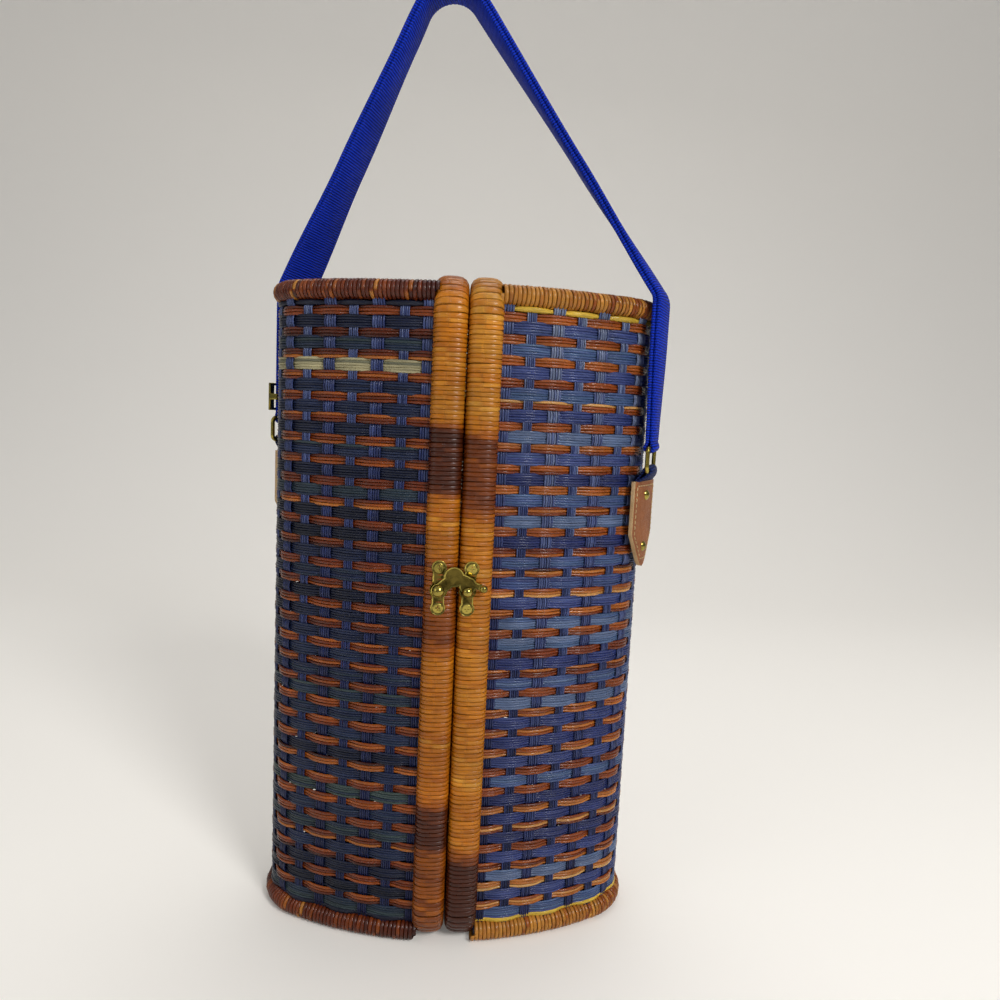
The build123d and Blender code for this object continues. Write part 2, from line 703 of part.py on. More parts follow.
def make_strap_eye(side):
    """The strap's end, folded round the ring's upper bar."""
    x = STRAP_STANDOFF
    half = WEBBING_WIDTH / 2
    outer = RING_RADIUS + STRAP_LAYER
    top = RING_HIGH + 2.5
    eye = rod((x, -half, RING_HIGH), (x, half, RING_HIGH), outer)
    low = (x - STRAP_THICKNESS / 2, -half, RING_HIGH)
    high = (x + STRAP_THICKNESS / 2, half, top + 0.5)
    eye = eye + block(low, high)
    bar = rod((x, -half - 1, RING_HIGH), (x, half + 1, RING_HIGH), RING_RADIUS)
    return placed(twisted(eye - bar, side), side), top - HARDWARE_DROP[side]


def make_strap():
    """The strap in five stretches: end, leg, top, leg, end, each clear of the next."""
    path = strap_path()
    gap = PART_GAP / 2 / path.length
    legs = {}
    tops = {}
    for side, sign in (("left", 1), ("right", -1)):
        eye, low = make_strap_eye(side)
        start = share_at_height(path, side, low)
        end = share_at_height(path, side, STRAP_END_TOP)
        leg = share_at_height(path, side, STRAP_LEG_TOP)
        run = strap_run(path, start, end - sign * gap)
        legs[f"strap_{side}_end"] = (eye + run) - placed(twisted(make_ring(), side), side)
        legs[f"strap_{side}_leg"] = strap_run(path, end + sign * gap, leg - sign * gap)
        tops[side] = leg + sign * gap
    legs["strap_top"] = strap_run(path, tops["left"], tops["right"])
    return legs


def make_band():
    """Elastic band across the right half's opening, with a flange on each stile."""
    inner = FRAME_Y - FRAME_RADIUS
    low = BAND_HEIGHT - BAND_WIDTH / 2
    high = BAND_HEIGHT + BAND_WIDTH / 2
    band = block((BAND_X, -inner, low), (BAND_X + BAND_THICKNESS, inner, high))
    for side in (-1, 1):
        edge = side * inner
        back = side * (inner - BAND_THICKNESS)
        flange_low = (BAND_X, min(edge, back), low)
        flange_high = (BAND_FLANGE, max(edge, back), high)
        band = band + block(flange_low, flange_high)
    return band


def make_tacks():
    """Four round-headed tacks that hold the band's flanges to the stiles."""
    tacks = []
    inner = FRAME_Y - FRAME_RADIUS - BAND_THICKNESS
    for side in (-1, 1):
        for rise in (-TACK_SPREAD, TACK_SPREAD):
            z = BAND_HEIGHT + rise
            plane = Plane((FRAME_X + 1, side * inner, z), z_dir=(0, -side, 0))
            head = plane * dome(TACK_HEAD_RADIUS, 0.9)
            shank = plane * Pos(0, 0, -7.0) * extrude(Circle(TACK_RADIUS), 7.0)
            tacks.append(head + shank)
    return tacks


def write(name, shapes):
    """Writes one node from a solid or a list of solids."""
    shapes = shapes if isinstance(shapes, list) else [shapes]
    solids = [solid for shape in shapes for solid in shape.solids()]
    body = solids[0] if len(solids) == 1 else Compound(children=solids)
    export_step(body, os.path.join("parts", name + ".step"))


def write_pair(name, shapes):
    """Writes a right-hand node and its mirror image on the left."""
    shapes = shapes if isinstance(shapes, list) else [shapes]
    write("right_" + name, shapes)
    write("left_" + name, [shape.mirror(Plane.YZ) for shape in shapes])


def main():
    os.makedirs("parts", exist_ok=True)
    core, binding = make_frame()
    write_pair("frame_pole", core)
    write_pair("frame_binding", binding)
    for place, (rim_core, rim_binding) in make_rims().items():
        write_pair(f"{place}_rim_cane", rim_core)
        write_pair(f"{place}_rim_binding", rim_binding)
    wall, top_panel, bottom_panel = make_weave()
    write_pair("woven_wall", wall)
    write_pair("top_panel", top_panel)
    write_pair("bottom_panel", bottom_panel)

    tacks = make_tacks()
    band = make_band()
    for tack in tacks:
        band = band - tack
    write_pair("bottle_band", band)
    write_pair("band_tacks", tacks)

    plate, catch, screws, pivot, stud, hook = make_latch()
    write("latch_plate", plate)
    write("catch_plate", catch)
    write("latch_plate_screws", screws["latch_plate"])
    write("catch_plate_screws", screws["catch_plate"])
    write("latch_pivot_rivet", pivot)
    write("catch_stud", stud)
    write("latch_hook", hook)

    leaves, hinge_screws, pins = make_hinges()
    for name, leaf in leaves.items():
        write(name, leaf)
    for side, group in hinge_screws.items():
        write(f"{side}_hinge_screws", group)
    write("hinge_pins", pins)

    rivets = make_tab_rivets()
    for side in ("left", "right"):
        loop = make_tab_loop(side)
        tab = make_tab(loop)
        for rivet in rivets:
            tab = tab - rivet
            loop = loop - rivet
        write(f"{side}_leather_tab", placed(tab, side))
        write(f"{side}_tab_rivets", [placed(rivet, side) for rivet in rivets])
        write(f"{side}_ring_loop", placed(loop, side))
        write(f"{side}_ring", placed(twisted(make_ring(), side), side))
    write("strap_slider", placed(make_slider(), "left"))
    for name, run in make_strap().items():
        write(name, run)


main()
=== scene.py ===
"""Dresses the bottle carrier basket: woven walls, cane wraps, brass, leather and webbing."""

import sys
import json
import logging
import math
from contextlib import contextmanager
from dataclasses import dataclass, field
from enum import Enum
from typing import Callable, Iterator, NamedTuple, Sequence

import bpy
import numpy as np
from mathutils import Matrix, Vector


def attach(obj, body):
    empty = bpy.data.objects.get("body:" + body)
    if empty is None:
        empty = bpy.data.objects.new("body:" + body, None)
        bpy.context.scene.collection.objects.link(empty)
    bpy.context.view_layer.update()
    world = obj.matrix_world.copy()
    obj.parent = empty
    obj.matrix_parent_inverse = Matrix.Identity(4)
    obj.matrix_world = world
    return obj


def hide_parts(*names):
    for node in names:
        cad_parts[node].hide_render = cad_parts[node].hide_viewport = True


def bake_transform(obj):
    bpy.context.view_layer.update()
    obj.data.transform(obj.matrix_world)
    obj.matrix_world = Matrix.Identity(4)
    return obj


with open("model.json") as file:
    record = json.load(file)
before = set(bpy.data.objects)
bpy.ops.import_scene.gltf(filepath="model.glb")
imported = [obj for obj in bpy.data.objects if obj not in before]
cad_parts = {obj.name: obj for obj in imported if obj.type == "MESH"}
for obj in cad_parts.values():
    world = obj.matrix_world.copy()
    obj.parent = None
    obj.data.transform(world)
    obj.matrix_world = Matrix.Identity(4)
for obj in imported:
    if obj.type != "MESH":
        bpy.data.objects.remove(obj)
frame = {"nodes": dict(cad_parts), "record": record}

MM = 0.001
STRAND = "strand"
UP = np.array([0.0, 0.0, 1.0])
OUT = np.array([1.0, 0.0, 0.0])
TONE_LIMITS = (0.02, 0.98)
SEEDS = {"stile": 11, "rim": 23, "wall": 31, "panel": 47}
FLATNESS = 1.5
SPLINT = 0.42
log = logging.getLogger("basket")

Array = np.ndarray
Piece = bpy.types.Object
Socket = bpy.types.NodeSocket
Material = bpy.types.Material


class Side(Enum):
    """The two halves of the basket, with the sign of their X direction."""

    LEFT = -1
    RIGHT = 1

    @property
    def word(self) -> str:
        """The half's name in the model."""
        return self.name.lower()

    @property
    def shell(self) -> str:
        """The body that the half's fixed pieces ride on."""
        return f"{self.word}_shell"


class Slot(Enum):
    """The record's material slots that the scene's pieces use."""

    STILE = "stile_wrap"
    RIM = "rim_wrap"
    WEAVE = "woven_splint"
    ELASTIC = "elastic"
    LEATHER = "tan_leather"
    NAVY = "navy_webbing"
    BLUE = "blue_webbing"
    BRASS = "antique_brass"


def linear(code: str) -> tuple[float, float, float, float]:
    """Turns a written sRGB colour into the linear values of a shader socket.

    Args:
        code: Six hexadecimal digits.

    Returns:
        Red, green, blue and an alpha of one.
    """
    shares = [int(code[i : i + 2], 16) / 255 for i in (0, 2, 4)]
    values = [s / 12.92 if s <= 0.04045 else ((s + 0.055) / 1.055) ** 2.4 for s in shares]
    return (*values, 1.0)


def unit(rows: Array) -> Array:
    """Scales each row of an array to length one."""
    return rows / np.maximum(np.linalg.norm(rows, axis=-1, keepdims=True), 1e-12)


def lengths(points: Array) -> Array:
    """Measures the way along points, from zero at the first one."""
    return np.concatenate([[0.0], np.cumsum(np.linalg.norm(np.diff(points, axis=0), axis=1))])


def spaced(points: Array, count: int) -> tuple[Array, Array]:
    """Spaces points evenly along a line.

    Args:
        points: Corners of the line.
        count: Number of new points.

    Returns:
        The new points and their lengths along the line.
    """
    steps = lengths(points)
    at = np.linspace(0, steps[-1], count)
    return np.stack([np.interp(at, steps, column) for column in points.T], axis=1), at


def upright(flat: Array) -> Array:
    """Sets flat points, as X and Z, up in the plane Y = 0."""
    return np.stack([flat[:, 0], np.zeros(len(flat)), flat[:, 1]], axis=1)


def arc(x: float, z: float, radius: float, first: float, last: float, count: int) -> list[tuple[float, float]]:
    """Lists a number of points, as X and Z, on an arc from its first to its last angle in degrees."""
    angles = np.linspace(math.radians(first), math.radians(last), count)
    return [(x + radius * math.cos(a), z + radius * math.sin(a)) for a in angles]


def ripple(turn: Array) -> Array:
    """A wave from 1 to -1 that stays near its ends, as a splint does over and under another."""
    return np.tanh(FLATNESS * np.cos(turn)) / math.tanh(FLATNESS)


class Path(NamedTuple):
    """Points of a path in millimetres, with directions square to it and along it."""

    points: Array
    outward: Array
    travel: Array


@dataclass(frozen=True)
class Section:
    """A strand's cross-section, as points round it with half sizes of one.

    Attributes:
        across: Place over the strand's width, from -1 to 1.
        depth: Place over its thickness, from -1 to 1.
    """

    across: tuple[float, ...]
    depth: tuple[float, ...]

    @property
    def sides(self) -> int:
        """The number of points round the section."""
        return len(self.across)

    @staticmethod
    def round(sides: int) -> "Section":
        """A round section with a number of sides."""
        turns = [2 * math.pi * k / sides for k in range(sides)]
        return Section(tuple(map(math.cos, turns)), tuple(map(math.sin, turns)))

    @staticmethod
    def flat(corner: float) -> "Section":
        """A strap's section, eight points with corners at a share of its half width."""
        across = (1, corner, 0, -corner, -1, -corner, 0, corner)
        return Section(across, (0, 1, 1.12, 1, 0, -1, -1.12, -1))

    @staticmethod
    def reed() -> "Section":
        """A fine splint's section, crowned on both faces."""
        return Section((1.0, 0.45, -0.45, -1.0, -0.45, 0.45), (0.0, 1.0, 1.0, 0.0, -1.0, -1.0))

    @staticmethod
    def lens(edge: float) -> "Section":
        """A wrap's section: crowned outside, with its edges at a share of its half thickness."""
        shoulder = 0.35 * edge + 0.65
        return Section((1.0, 0.6, 0.0, -0.6, -1.0, 0.0), (edge, shoulder, 1.0, shoulder, edge, -1.0))


@dataclass
class Run:
    """The stations that a straight blank is laid onto, one row to a station, in millimetres.

    Attributes:
        points: Centre of each station.
        wide: Direction across the strand, as long as its half width.
        thick: Direction through the strand, as long as its half thickness.
        along: Length along the strand at each station.
        tone: A value from 0 to 1 at each station that picks its colour.
    """

    points: Array
    wide: Array
    thick: Array
    along: Array
    tone: Array

    @staticmethod
    def through(
        points: Array, wide: Array, thick: Array, tone: float | Array = 0.5, start: float = 0.0
    ) -> "Run":
        """Makes a run and measures its length from its points.

        Args:
            points: Centres of the stations.
            wide: Direction across with the half width as its length, one or one for each station.
            thick: Direction through with the half thickness as its length, likewise.
            tone: One colour value, or one for each station.
            start: Length at the first station.

        Returns:
            The finished run.
        """
        wide, thick = (np.broadcast_to(rows, points.shape) for rows in (wide, thick))
        tones = np.broadcast_to(tone, (len(points),)).astype(float)
        return Run(points, wide, thick, start + lengths(points), tones)


class Bench:
    """Modelling steps that every sub-assembly uses."""

    blanks: dict[tuple[int, int], bpy.types.Mesh] = {}

    @staticmethod
    def clear() -> None:
        """Deselects everything and leaves edit mode."""
        if bpy.context.object and bpy.context.object.mode != "OBJECT":
            bpy.ops.object.mode_set(mode="OBJECT")
        bpy.ops.object.select_all(action="DESELECT")

    @staticmethod
    def pick(obj: Piece) -> Piece:
        """Makes an object the only selected and active one.

        Args:
            obj: The object.

        Returns:
            The same object.
        """
        Bench.clear()
        obj.select_set(True)
        bpy.context.view_layer.objects.active = obj
        return obj

    @staticmethod
    def added(name: str) -> Piece:
        """Names the primitive that was just added, and moves its place into its mesh.

        Args:
            name: Its new name.

        Returns:
            The piece.
        """
        obj = Bench.pick(bpy.context.object)
        obj.name = name
        obj.data.name = name
        obj.data.transform(obj.matrix_world)
        obj.matrix_world = Matrix.Identity(4)
        return obj

    @staticmethod
    def link(name: str, data: bpy.types.ID) -> Piece:
        """Puts new data into the scene as an object.

        Args:
            name: The object's name.
            data: The data.

        Returns:
            The object.
        """
        obj = bpy.data.objects.new(name, data)
        bpy.context.scene.collection.objects.link(obj)
        return obj

    @staticmethod
    @contextmanager
    def editing(obj: Piece, select: str | None = "SELECT", elements: str | None = None) -> Iterator[None]:
        """Opens a piece in edit mode for the length of a with block.

        Args:
            obj: The piece.
            select: What is first done to the selection, or None to leave it.
            elements: Kind of element that is selected, or None to leave it.

        Yields:
            Nothing.
        """
        Bench.pick(obj)
        bpy.ops.object.mode_set(mode="EDIT")
        if elements:
            bpy.ops.mesh.select_mode(type=elements)
        if select:
            bpy.ops.mesh.select_all(action=select)
        yield
        bpy.ops.object.mode_set(mode="OBJECT")

    @staticmethod
    def choose(obj: Piece, elements: str, wanted: Callable[[object], bool]) -> None:
        """Selects the edges or faces that pass a test.

        Args:
            obj: The piece.
            elements: EDGE or FACE.
            wanted: The test.
        """
        with Bench.editing(obj, "DESELECT", elements):
            pass
        for element in obj.data.edges if elements == "EDGE" else obj.data.polygons:
            element.select = wanted(element)

    @staticmethod
    def apply(obj: Piece, kind: str, **values: object) -> None:
        """Adds a modifier, sets it and applies it.

        Args:
            obj: The piece.
            kind: Blender's name of the modifier.
            values: The modifier's settings.
        """
        Bench.pick(obj)
        modifier = obj.modifiers.new(kind.lower(), kind)
        for key, value in values.items():
            setattr(modifier, key, value)
        bpy.ops.object.modifier_apply(modifier=modifier.name)

    @staticmethod
    def bevel(obj: Piece, width: float, segments: int, degrees: float) -> None:
        """Rounds a piece's edges that are sharper than an angle, over a width in metres."""
        angle = math.radians(degrees)
        Bench.apply(obj, "BEVEL", width=width, segments=segments, limit_method="ANGLE", angle_limit=angle)

    @staticmethod
    def smooth(obj: Piece, degrees: float) -> None:
        """Shades a piece smooth except at edges that are sharper than an angle."""
        Bench.pick(obj)
        bpy.ops.object.shade_smooth_by_angle(angle=math.radians(degrees))

    @staticmethod
    def blank(sides: int, stations: int) -> bpy.types.Mesh:
        """A straight capped tube with unit radius: one length is modelled, then arrayed.

        Args:
            sides: Points round the tube.
            stations: Rings along it, one unit apart.

        Returns:
            The blank's mesh, made once for each size.
        """
        key = (sides, stations)
        if key in Bench.blanks:
            return Bench.blanks[key]
        Bench.clear()
        bpy.ops.mesh.primitive_cylinder_add(
            vertices=sides, radius=1, depth=1, end_fill_type="NOTHING", location=(0, 0, 0.5)
        )
        obj = Bench.added(f"blank_{sides}_{stations}")
        Bench.apply(
            obj,
            "ARRAY",
            count=stations - 1,
            use_relative_offset=False,
            use_constant_offset=True,
            constant_offset_displace=(0, 0, 1),
            use_merge_vertices=True,
            merge_threshold=0.01,
        )
        with Bench.editing(obj, None, "EDGE"):
            bpy.ops.mesh.select_non_manifold(
                extend=False, use_wire=False, use_multi_face=False, use_non_contiguous=False, use_verts=False
            )
            bpy.ops.mesh.fill_holes(sides=0)
        mesh = obj.data
        mesh.use_fake_user = True
        bpy.data.objects.remove(obj)
        Bench.blanks[key] = mesh
        return mesh

    @staticmethod
    def lay(name: str, section: Section, run: Run) -> Piece:
        """Bends a copy of a straight blank onto a run, as a strand.

        Args:
            name: The new piece's name.
            section: The strand's cross-section.
            run: The stations.

        Returns:
            The strand, with its width, length and tone in the strand attribute.
        """
        mesh = Bench.blank(section.sides, len(run.points)).copy()
        mesh.use_fake_user = False
        co = np.empty(len(mesh.vertices) * 3)
        mesh.vertices.foreach_get("co", co)
        co = co.reshape(-1, 3)
        ring = np.rint(co[:, 2]).astype(int).clip(0, len(run.points) - 1)
        turn = np.arctan2(co[:, 1], co[:, 0]) * section.sides / (2 * math.pi)
        corner = np.rint(turn - turn[0] % 1).astype(int) % section.sides
        across = np.array(section.across)[corner]
        depth = np.array(section.depth)[corner]
        place = run.points[ring] + across[:, None] * run.wide[ring] + depth[:, None] * run.thick[ring]
        mesh.vertices.foreach_set("co", (place * MM).ravel())
        width = np.linalg.norm(run.wide, axis=1)
        facts = np.stack([across * width[ring] * MM, run.along[ring] * MM, run.tone[ring]], axis=1)
        attribute = mesh.attributes.new(STRAND, "FLOAT_VECTOR", "POINT")
        attribute.data.foreach_set("vector", facts.astype(np.float32).ravel())
        middle = max(1, len(run.points) // 2)
        ahead = run.points[middle] - run.points[middle - 1]
        if np.dot(np.cross(run.wide[middle], run.thick[middle]), ahead) < 0:
            mesh.flip_normals()
        mesh.shade_smooth()
        return Bench.link(name, mesh)

    @staticmethod
    def join(name: str, parts: Sequence[Piece]) -> Piece:
        """Joins pieces into one, which uses them up.

        Args:
            name: The joined piece's name.
            parts: The pieces.

        Returns:
            The joined piece.
        """
        Bench.clear()
        for part in parts:
            part.select_set(True)
        bpy.context.view_layer.objects.active = parts[0]
        if len(parts) > 1:
            bpy.ops.object.join()
        obj = bpy.context.object
        obj.name = name
        obj.data.name = name
        return obj

    @staticmethod
    def press(obj: Piece, level: float = 0.5) -> None:
        """Presses a piece's underside onto the floor, as its weight has done.

        Args:
            obj: The piece.
            level: Height in millimetres up to which it gives way.
        """
        co = np.empty(len(obj.data.vertices) * 3)
        obj.data.vertices.foreach_get("co", co)
        height = co[2::3] / MM
        pressed = level * np.exp(np.minimum(height - level, 0.0) / level)
        co[2::3] = np.where(height < level, pressed, height) * MM
        obj.data.vertices.foreach_set("co", co)
        obj.data.update()

    @staticmethod
    def dress(obj: Piece, slot: Slot, *materials: Material) -> None:
        """Gives a piece its materials, and writes it to the log.

        Args:
            obj: The piece.
            slot: The record's slot; not used.
            materials: Its materials, or none to leave those that it has.
        """
        if materials:
            marks = [face.material_index for face in obj.data.polygons]
            obj.data.materials.clear()
            for material in materials:
                obj.data.materials.append(material)
            obj.data.polygons.foreach_set("material_index", marks)
        log.info("%s: %d faces", obj.name, len(obj.data.polygons))

    @staticmethod
    def fit(obj: Piece, slot: Slot, body: str, nodes: Sequence[str], *materials: Material) -> None:
        """Dresses a piece and fixes it to a body.

        Args:
            obj: The piece.
            slot: The record's slot.
            body: The body that it rides on.
            nodes: The nodes that it stands for.
            materials: Its materials, as for dress.
        """
        Bench.dress(obj, slot, *materials)
        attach(obj, body)
        if nodes:
            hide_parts(*nodes)


class Graph:
    """A small helper that builds one shader tree."""

    def __init__(self, tree: bpy.types.NodeTree) -> None:
        self.tree = tree

    def feed(self, node: bpy.types.Node, inputs: dict[str | int, object]) -> None:
        """Links sockets to a node's inputs, and sets plain values on them.

        Args:
            node: The node.
            inputs: Values or sockets for its inputs.
        """
        for key, value in inputs.items():
            if isinstance(value, Socket):
                self.tree.links.new(value, node.inputs[key])
            else:
                node.inputs[key].default_value = value

    def node(
        self, kind: str, inputs: dict[str | int, object] | None = None, **settings: object
    ) -> bpy.types.Node:
        """Adds a node.

        Args:
            kind: Blender's name of the node.
            inputs: Values or sockets for its inputs.
            settings: The node's own settings.

        Returns:
            The new node.
        """
        made = self.tree.nodes.new(kind)
        for key, value in settings.items():
            setattr(made, key, value)
        self.feed(made, inputs or {})
        return made

    def math(self, operation: str, *values: object) -> Socket:
        """Adds a Math node over its values and returns its output."""
        return self.node("ShaderNodeMath", dict(enumerate(values)), operation=operation).outputs[0]

    def split(self, vector: Socket) -> tuple[Socket, Socket, Socket]:
        """Splits a vector into its three values."""
        return tuple(self.node("ShaderNodeSeparateXYZ", {0: vector}).outputs)

    def vector(self, *values: object) -> Socket:
        """Makes a vector of three values."""
        return self.node("ShaderNodeCombineXYZ", dict(enumerate(values))).outputs[0]

    def mix(self, share: object, first: object, second: object) -> Socket:
        """Adds a colour Mix node and returns its output."""
        return self.node("ShaderNodeMix", {0: share, 6: first, 7: second}, data_type="RGBA").outputs[2]

    def lift(self, colour: Socket, value: Socket) -> Socket:
        """Makes a colour lighter or darker by a factor."""
        return self.node("ShaderNodeHueSaturation", {"Value": value, "Color": colour}).outputs[0]

    def ramp(self, value: object, stops: Sequence[tuple[float, str]]) -> Socket:
        """Adds a colour ramp.

        Args:
            value: The socket that it reads.
            stops: Places and written colours.

        Returns:
            The colour output.
        """
        made = self.node("ShaderNodeValToRGB", {0: value})
        points = made.color_ramp.elements
        while len(points) < len(stops):
            points.new(0.5)
        for point, (place, code) in zip(points, sorted(stops)):
            point.position = place
            point.color = linear(code)
        return made.outputs[0]

    def noise(self, vector: Socket, scale: float, detail: float, rough: float) -> Socket:
        """Adds a noise texture and returns its value."""
        inputs = {"Vector": vector, "Scale": scale, "Detail": detail, "Roughness": rough}
        return self.node("ShaderNodeTexNoise", inputs).outputs["Fac"]

    def remap(self, value: Socket, low: float, high: float, to_low: float, to_high: float) -> Socket:
        """Maps a value clamped from one range onto another."""
        inputs = {0: value, 1: low, 2: high, 3: to_low, 4: to_high}
        return self.node("ShaderNodeMapRange", inputs).outputs[0]

    def share(self, value: Socket, low: float, high: float) -> Socket:
        """Maps a range onto shares from 0 to 1."""
        return self.remap(value, low, high, 0.0, 1.0)

    def between(self, share: Socket, low: float, high: float) -> Socket:
        """Maps shares from 0 to 1 onto a range."""
        return self.remap(share, 0.0, 1.0, low, high)

    def bump(self, height: Socket, distance: float) -> Socket:
        """Adds a Bump node and returns its normal."""
        inputs = {"Height": height, "Distance": distance, "Strength": 1.0}
        return self.node("ShaderNodeBump", inputs).outputs[0]


class Effects:
    """Shader node groups that several materials share, each built at its first use."""

    made: dict[str, bpy.types.NodeTree] = {}

    @staticmethod
    def use(g: Graph, build: Callable[[Graph, object], dict[str, Socket]], **inputs: object) -> object:
        """Places an effect in a shader tree.

        Args:
            g: The shader tree.
            build: The effect, one of the functions below.
            inputs: Sockets for the effect's vectors and numbers for its values.

        Returns:
            The effect's outputs, by name.
        """
        if build.__name__ not in Effects.made:
            tree = bpy.data.node_groups.new(build.__name__, "ShaderNodeTree")
            for label, value in inputs.items():
                kind = "NodeSocketFloat" if isinstance(value, float) else "NodeSocketVector"
                tree.interface.new_socket(label, in_out="INPUT", socket_type=kind)
            inner = Graph(tree)
            outputs = build(inner, inner.node("NodeGroupInput").outputs)
            for label in outputs:
                tree.interface.new_socket(label, in_out="OUTPUT", socket_type="NodeSocketFloat")
            inner.node("NodeGroupOutput", outputs)
            Effects.made[build.__name__] = tree
        return g.node("ShaderNodeGroup", inputs, node_tree=Effects.made[build.__name__]).outputs

    @staticmethod
    def fibre_streaks(g: Graph, source: object) -> dict[str, Socket]:
        """Long streaks that run with a strand, from its strand attribute.

        Args:
            g: The effect's own tree.
            source: The effect's inputs, by name.

        Returns:
            The streaks and the broader patches, from 0 to 1.
        """
        wide, length, tone = g.split(source["Strand"])
        across = g.math("DIVIDE", wide, source["Line"])
        along = g.math("DIVIDE", length, source["Length"])
        seed = g.math("MULTIPLY", tone, 91.7)
        fine = g.noise(g.vector(across, along, seed), 1.0, 2.0, 0.6)
        slow = g.noise(g.vector(seed, g.math("MULTIPLY", along, 0.35), seed), 1.0, 1.0, 0.5)
        return {"Streak": g.share(fine, 0.3, 0.7), "Patch": g.share(slow, 0.3, 0.7)}

    @staticmethod
    def webbing_ribs(g: Graph, source: object) -> dict[str, Socket]:
        """Cross ribs and the fine weave of webbing, from its strand attribute.

        Args:
            g: The effect's own tree.
            source: The effect's inputs, by name.

        Returns:
            The height of the ribs with their yarns.
        """
        full, yarn_width = 2 * math.pi, 0.00095
        wide, length, _ = g.split(source["Strand"])
        turn = g.math("MULTIPLY", length, g.math("DIVIDE", full, source["Pitch"]))
        rib = g.math("MULTIPLY_ADD", g.math("COSINE", turn), 0.5, 0.5)
        row = g.math("FLOOR", g.math("DIVIDE", length, source["Pitch"]))
        shift = g.math("MULTIPLY", row, 0.5)
        thread = g.math("MULTIPLY", g.math("ADD", g.math("DIVIDE", wide, yarn_width), shift), full)
        yarn = g.math("MULTIPLY_ADD", g.math("SINE", thread), 0.5, 0.5)
        return {"Height": g.math("MULTIPLY_ADD", yarn, 0.35, rib)}

    @staticmethod
    def age_marks(g: Graph, source: object) -> dict[str, Socket]:
        """Blotches and fine speckle over a surface, from object coordinates.

        Args:
            g: The effect's own tree.
            source: The effect's inputs, by name.

        Returns:
            The blotches and the speckle, from 0 to 1.
        """
        inputs = {0: source["Place"], "Scale": source["Scale"]}
        scaled = g.node("ShaderNodeVectorMath", inputs, operation="SCALE").outputs[0]
        broad, fine = g.noise(scaled, 1.0, 4.0, 0.62), g.noise(scaled, 9.0, 3.0, 0.6)
        return {"Blotch": g.share(broad, 0.35, 0.68), "Speckle": g.share(fine, 0.3, 0.72)}


@dataclass(frozen=True)
class Finish:
    """What every finish shares: its name and the making of its material."""

    name: str

    def paint(self, g: Graph) -> dict[str, object]:
        """Builds the finish and returns the shader's inputs by name."""
        raise NotImplementedError

    def material(self) -> Material:
        """Makes the material."""
        made = bpy.data.materials.new(self.name)
        made.use_nodes = True
        g = Graph(made.node_tree)
        shader = next(n for n in made.node_tree.nodes if n.type == "BSDF_PRINCIPLED")
        g.feed(shader, self.paint(g))
        return made

    @staticmethod
    def strand(g: Graph) -> Socket:
        """Reads a strand's width, length and tone."""
        return g.node("ShaderNodeAttribute", attribute_name=STRAND).outputs["Vector"]

    @staticmethod
    def age(g: Graph, scale: float) -> object:
        """Places the marks of age at a scale, over the object's own coordinates."""
        place = g.node("ShaderNodeTexCoord").outputs["Object"]
        return Effects.use(g, Effects.age_marks, Place=place, Scale=scale)


@dataclass(frozen=True)
class CaneFinish(Finish):
    """Varnished cane or splint, coloured by its tone, with streaks along it.

    Attributes:
        tones: Places and colours over the tone from 0 to 1.
        dark: Colour of the streaks.
        streak: Strength of the streaks.
        line: Width of a streak in metres.
        rough: Roughness of the varnish.
        coat: Weight of the clear coat.
        relief: Depth of the streaks in metres.
        fibre: Length of a streak in metres.
        patch: Strength of the broader patches.
        marks: Scale of the marks of age.
    """

    tones: tuple[tuple[float, str], ...]
    dark: str
    streak: float = 0.5
    line: float = 0.0004
    rough: float = 0.34
    coat: float = 0.45
    relief: float = 0.00012
    fibre: float = 0.018
    patch: float = 0.28
    marks: float = 45.0

    def paint(self, g: Graph) -> dict[str, object]:
        """Builds the finish.

        Args:
            g: The material's shader tree.

        Returns:
            The shader's inputs, by name.
        """
        strand = self.strand(g)
        fibre = Effects.use(g, Effects.fibre_streaks, Strand=strand, Line=self.line, Length=self.fibre)
        age = self.age(g, self.marks)
        colour = g.ramp(g.split(strand)[2], self.tones)
        for output, weight in (("Streak", self.streak), ("Patch", self.patch)):
            colour = g.mix(g.math("MULTIPLY", fibre[output], weight), colour, linear(self.dark))
        return {
            "Base Color": g.lift(colour, g.between(age["Blotch"], 0.82, 1.15)),
            "Roughness": g.between(age["Speckle"], self.rough - 0.06, self.rough + 0.12),
            "Normal": g.bump(fibre["Streak"], self.relief),
            "Specular IOR Level": 0.28,
            "Coat Weight": self.coat,
            "Coat Roughness": 0.12,
        }


@dataclass(frozen=True)
class WebbingFinish(Finish):
    """Ribbed webbing or elastic.

    Attributes:
        colour: The webbing's colour, on top of the ribs.
        hollow: Painted shade in the hollows between the ribs.
        pitch: Distance from rib to rib in metres.
        relief: Height of the ribs' bump in metres.
        rough: Roughness.
        sheen: Weight of the sheen.
        marks: Scale of the marks of age.
    """

    colour: str
    hollow: str
    pitch: float = 0.00145
    relief: float = 0.00025
    rough: float = 0.62
    sheen: float = 0.04
    marks: float = 30.0

    def paint(self, g: Graph) -> dict[str, object]:
        """Builds the finish.

        Args:
            g: The material's shader tree.

        Returns:
            The shader's inputs, by name.
        """
        height = Effects.use(g, Effects.webbing_ribs, Strand=self.strand(g), Pitch=self.pitch)["Height"]
        age = self.age(g, self.marks)
        # Painted shade: the colour darkens from the rib tops into the hollows between them.
        colour = g.mix(g.share(height, 0.1, 1.1), linear(self.hollow), linear(self.colour))
        return {
            "Base Color": g.lift(colour, g.between(age["Blotch"], 0.86, 1.14)),
            "Roughness": g.between(age["Speckle"], self.rough - 0.08, self.rough + 0.08),
            "Normal": g.bump(height, self.relief),
            "Specular IOR Level": 0.12,
            "Sheen Weight": self.sheen,
            "Sheen Tint": linear(self.colour),
            "Sheen Roughness": 0.5,
        }


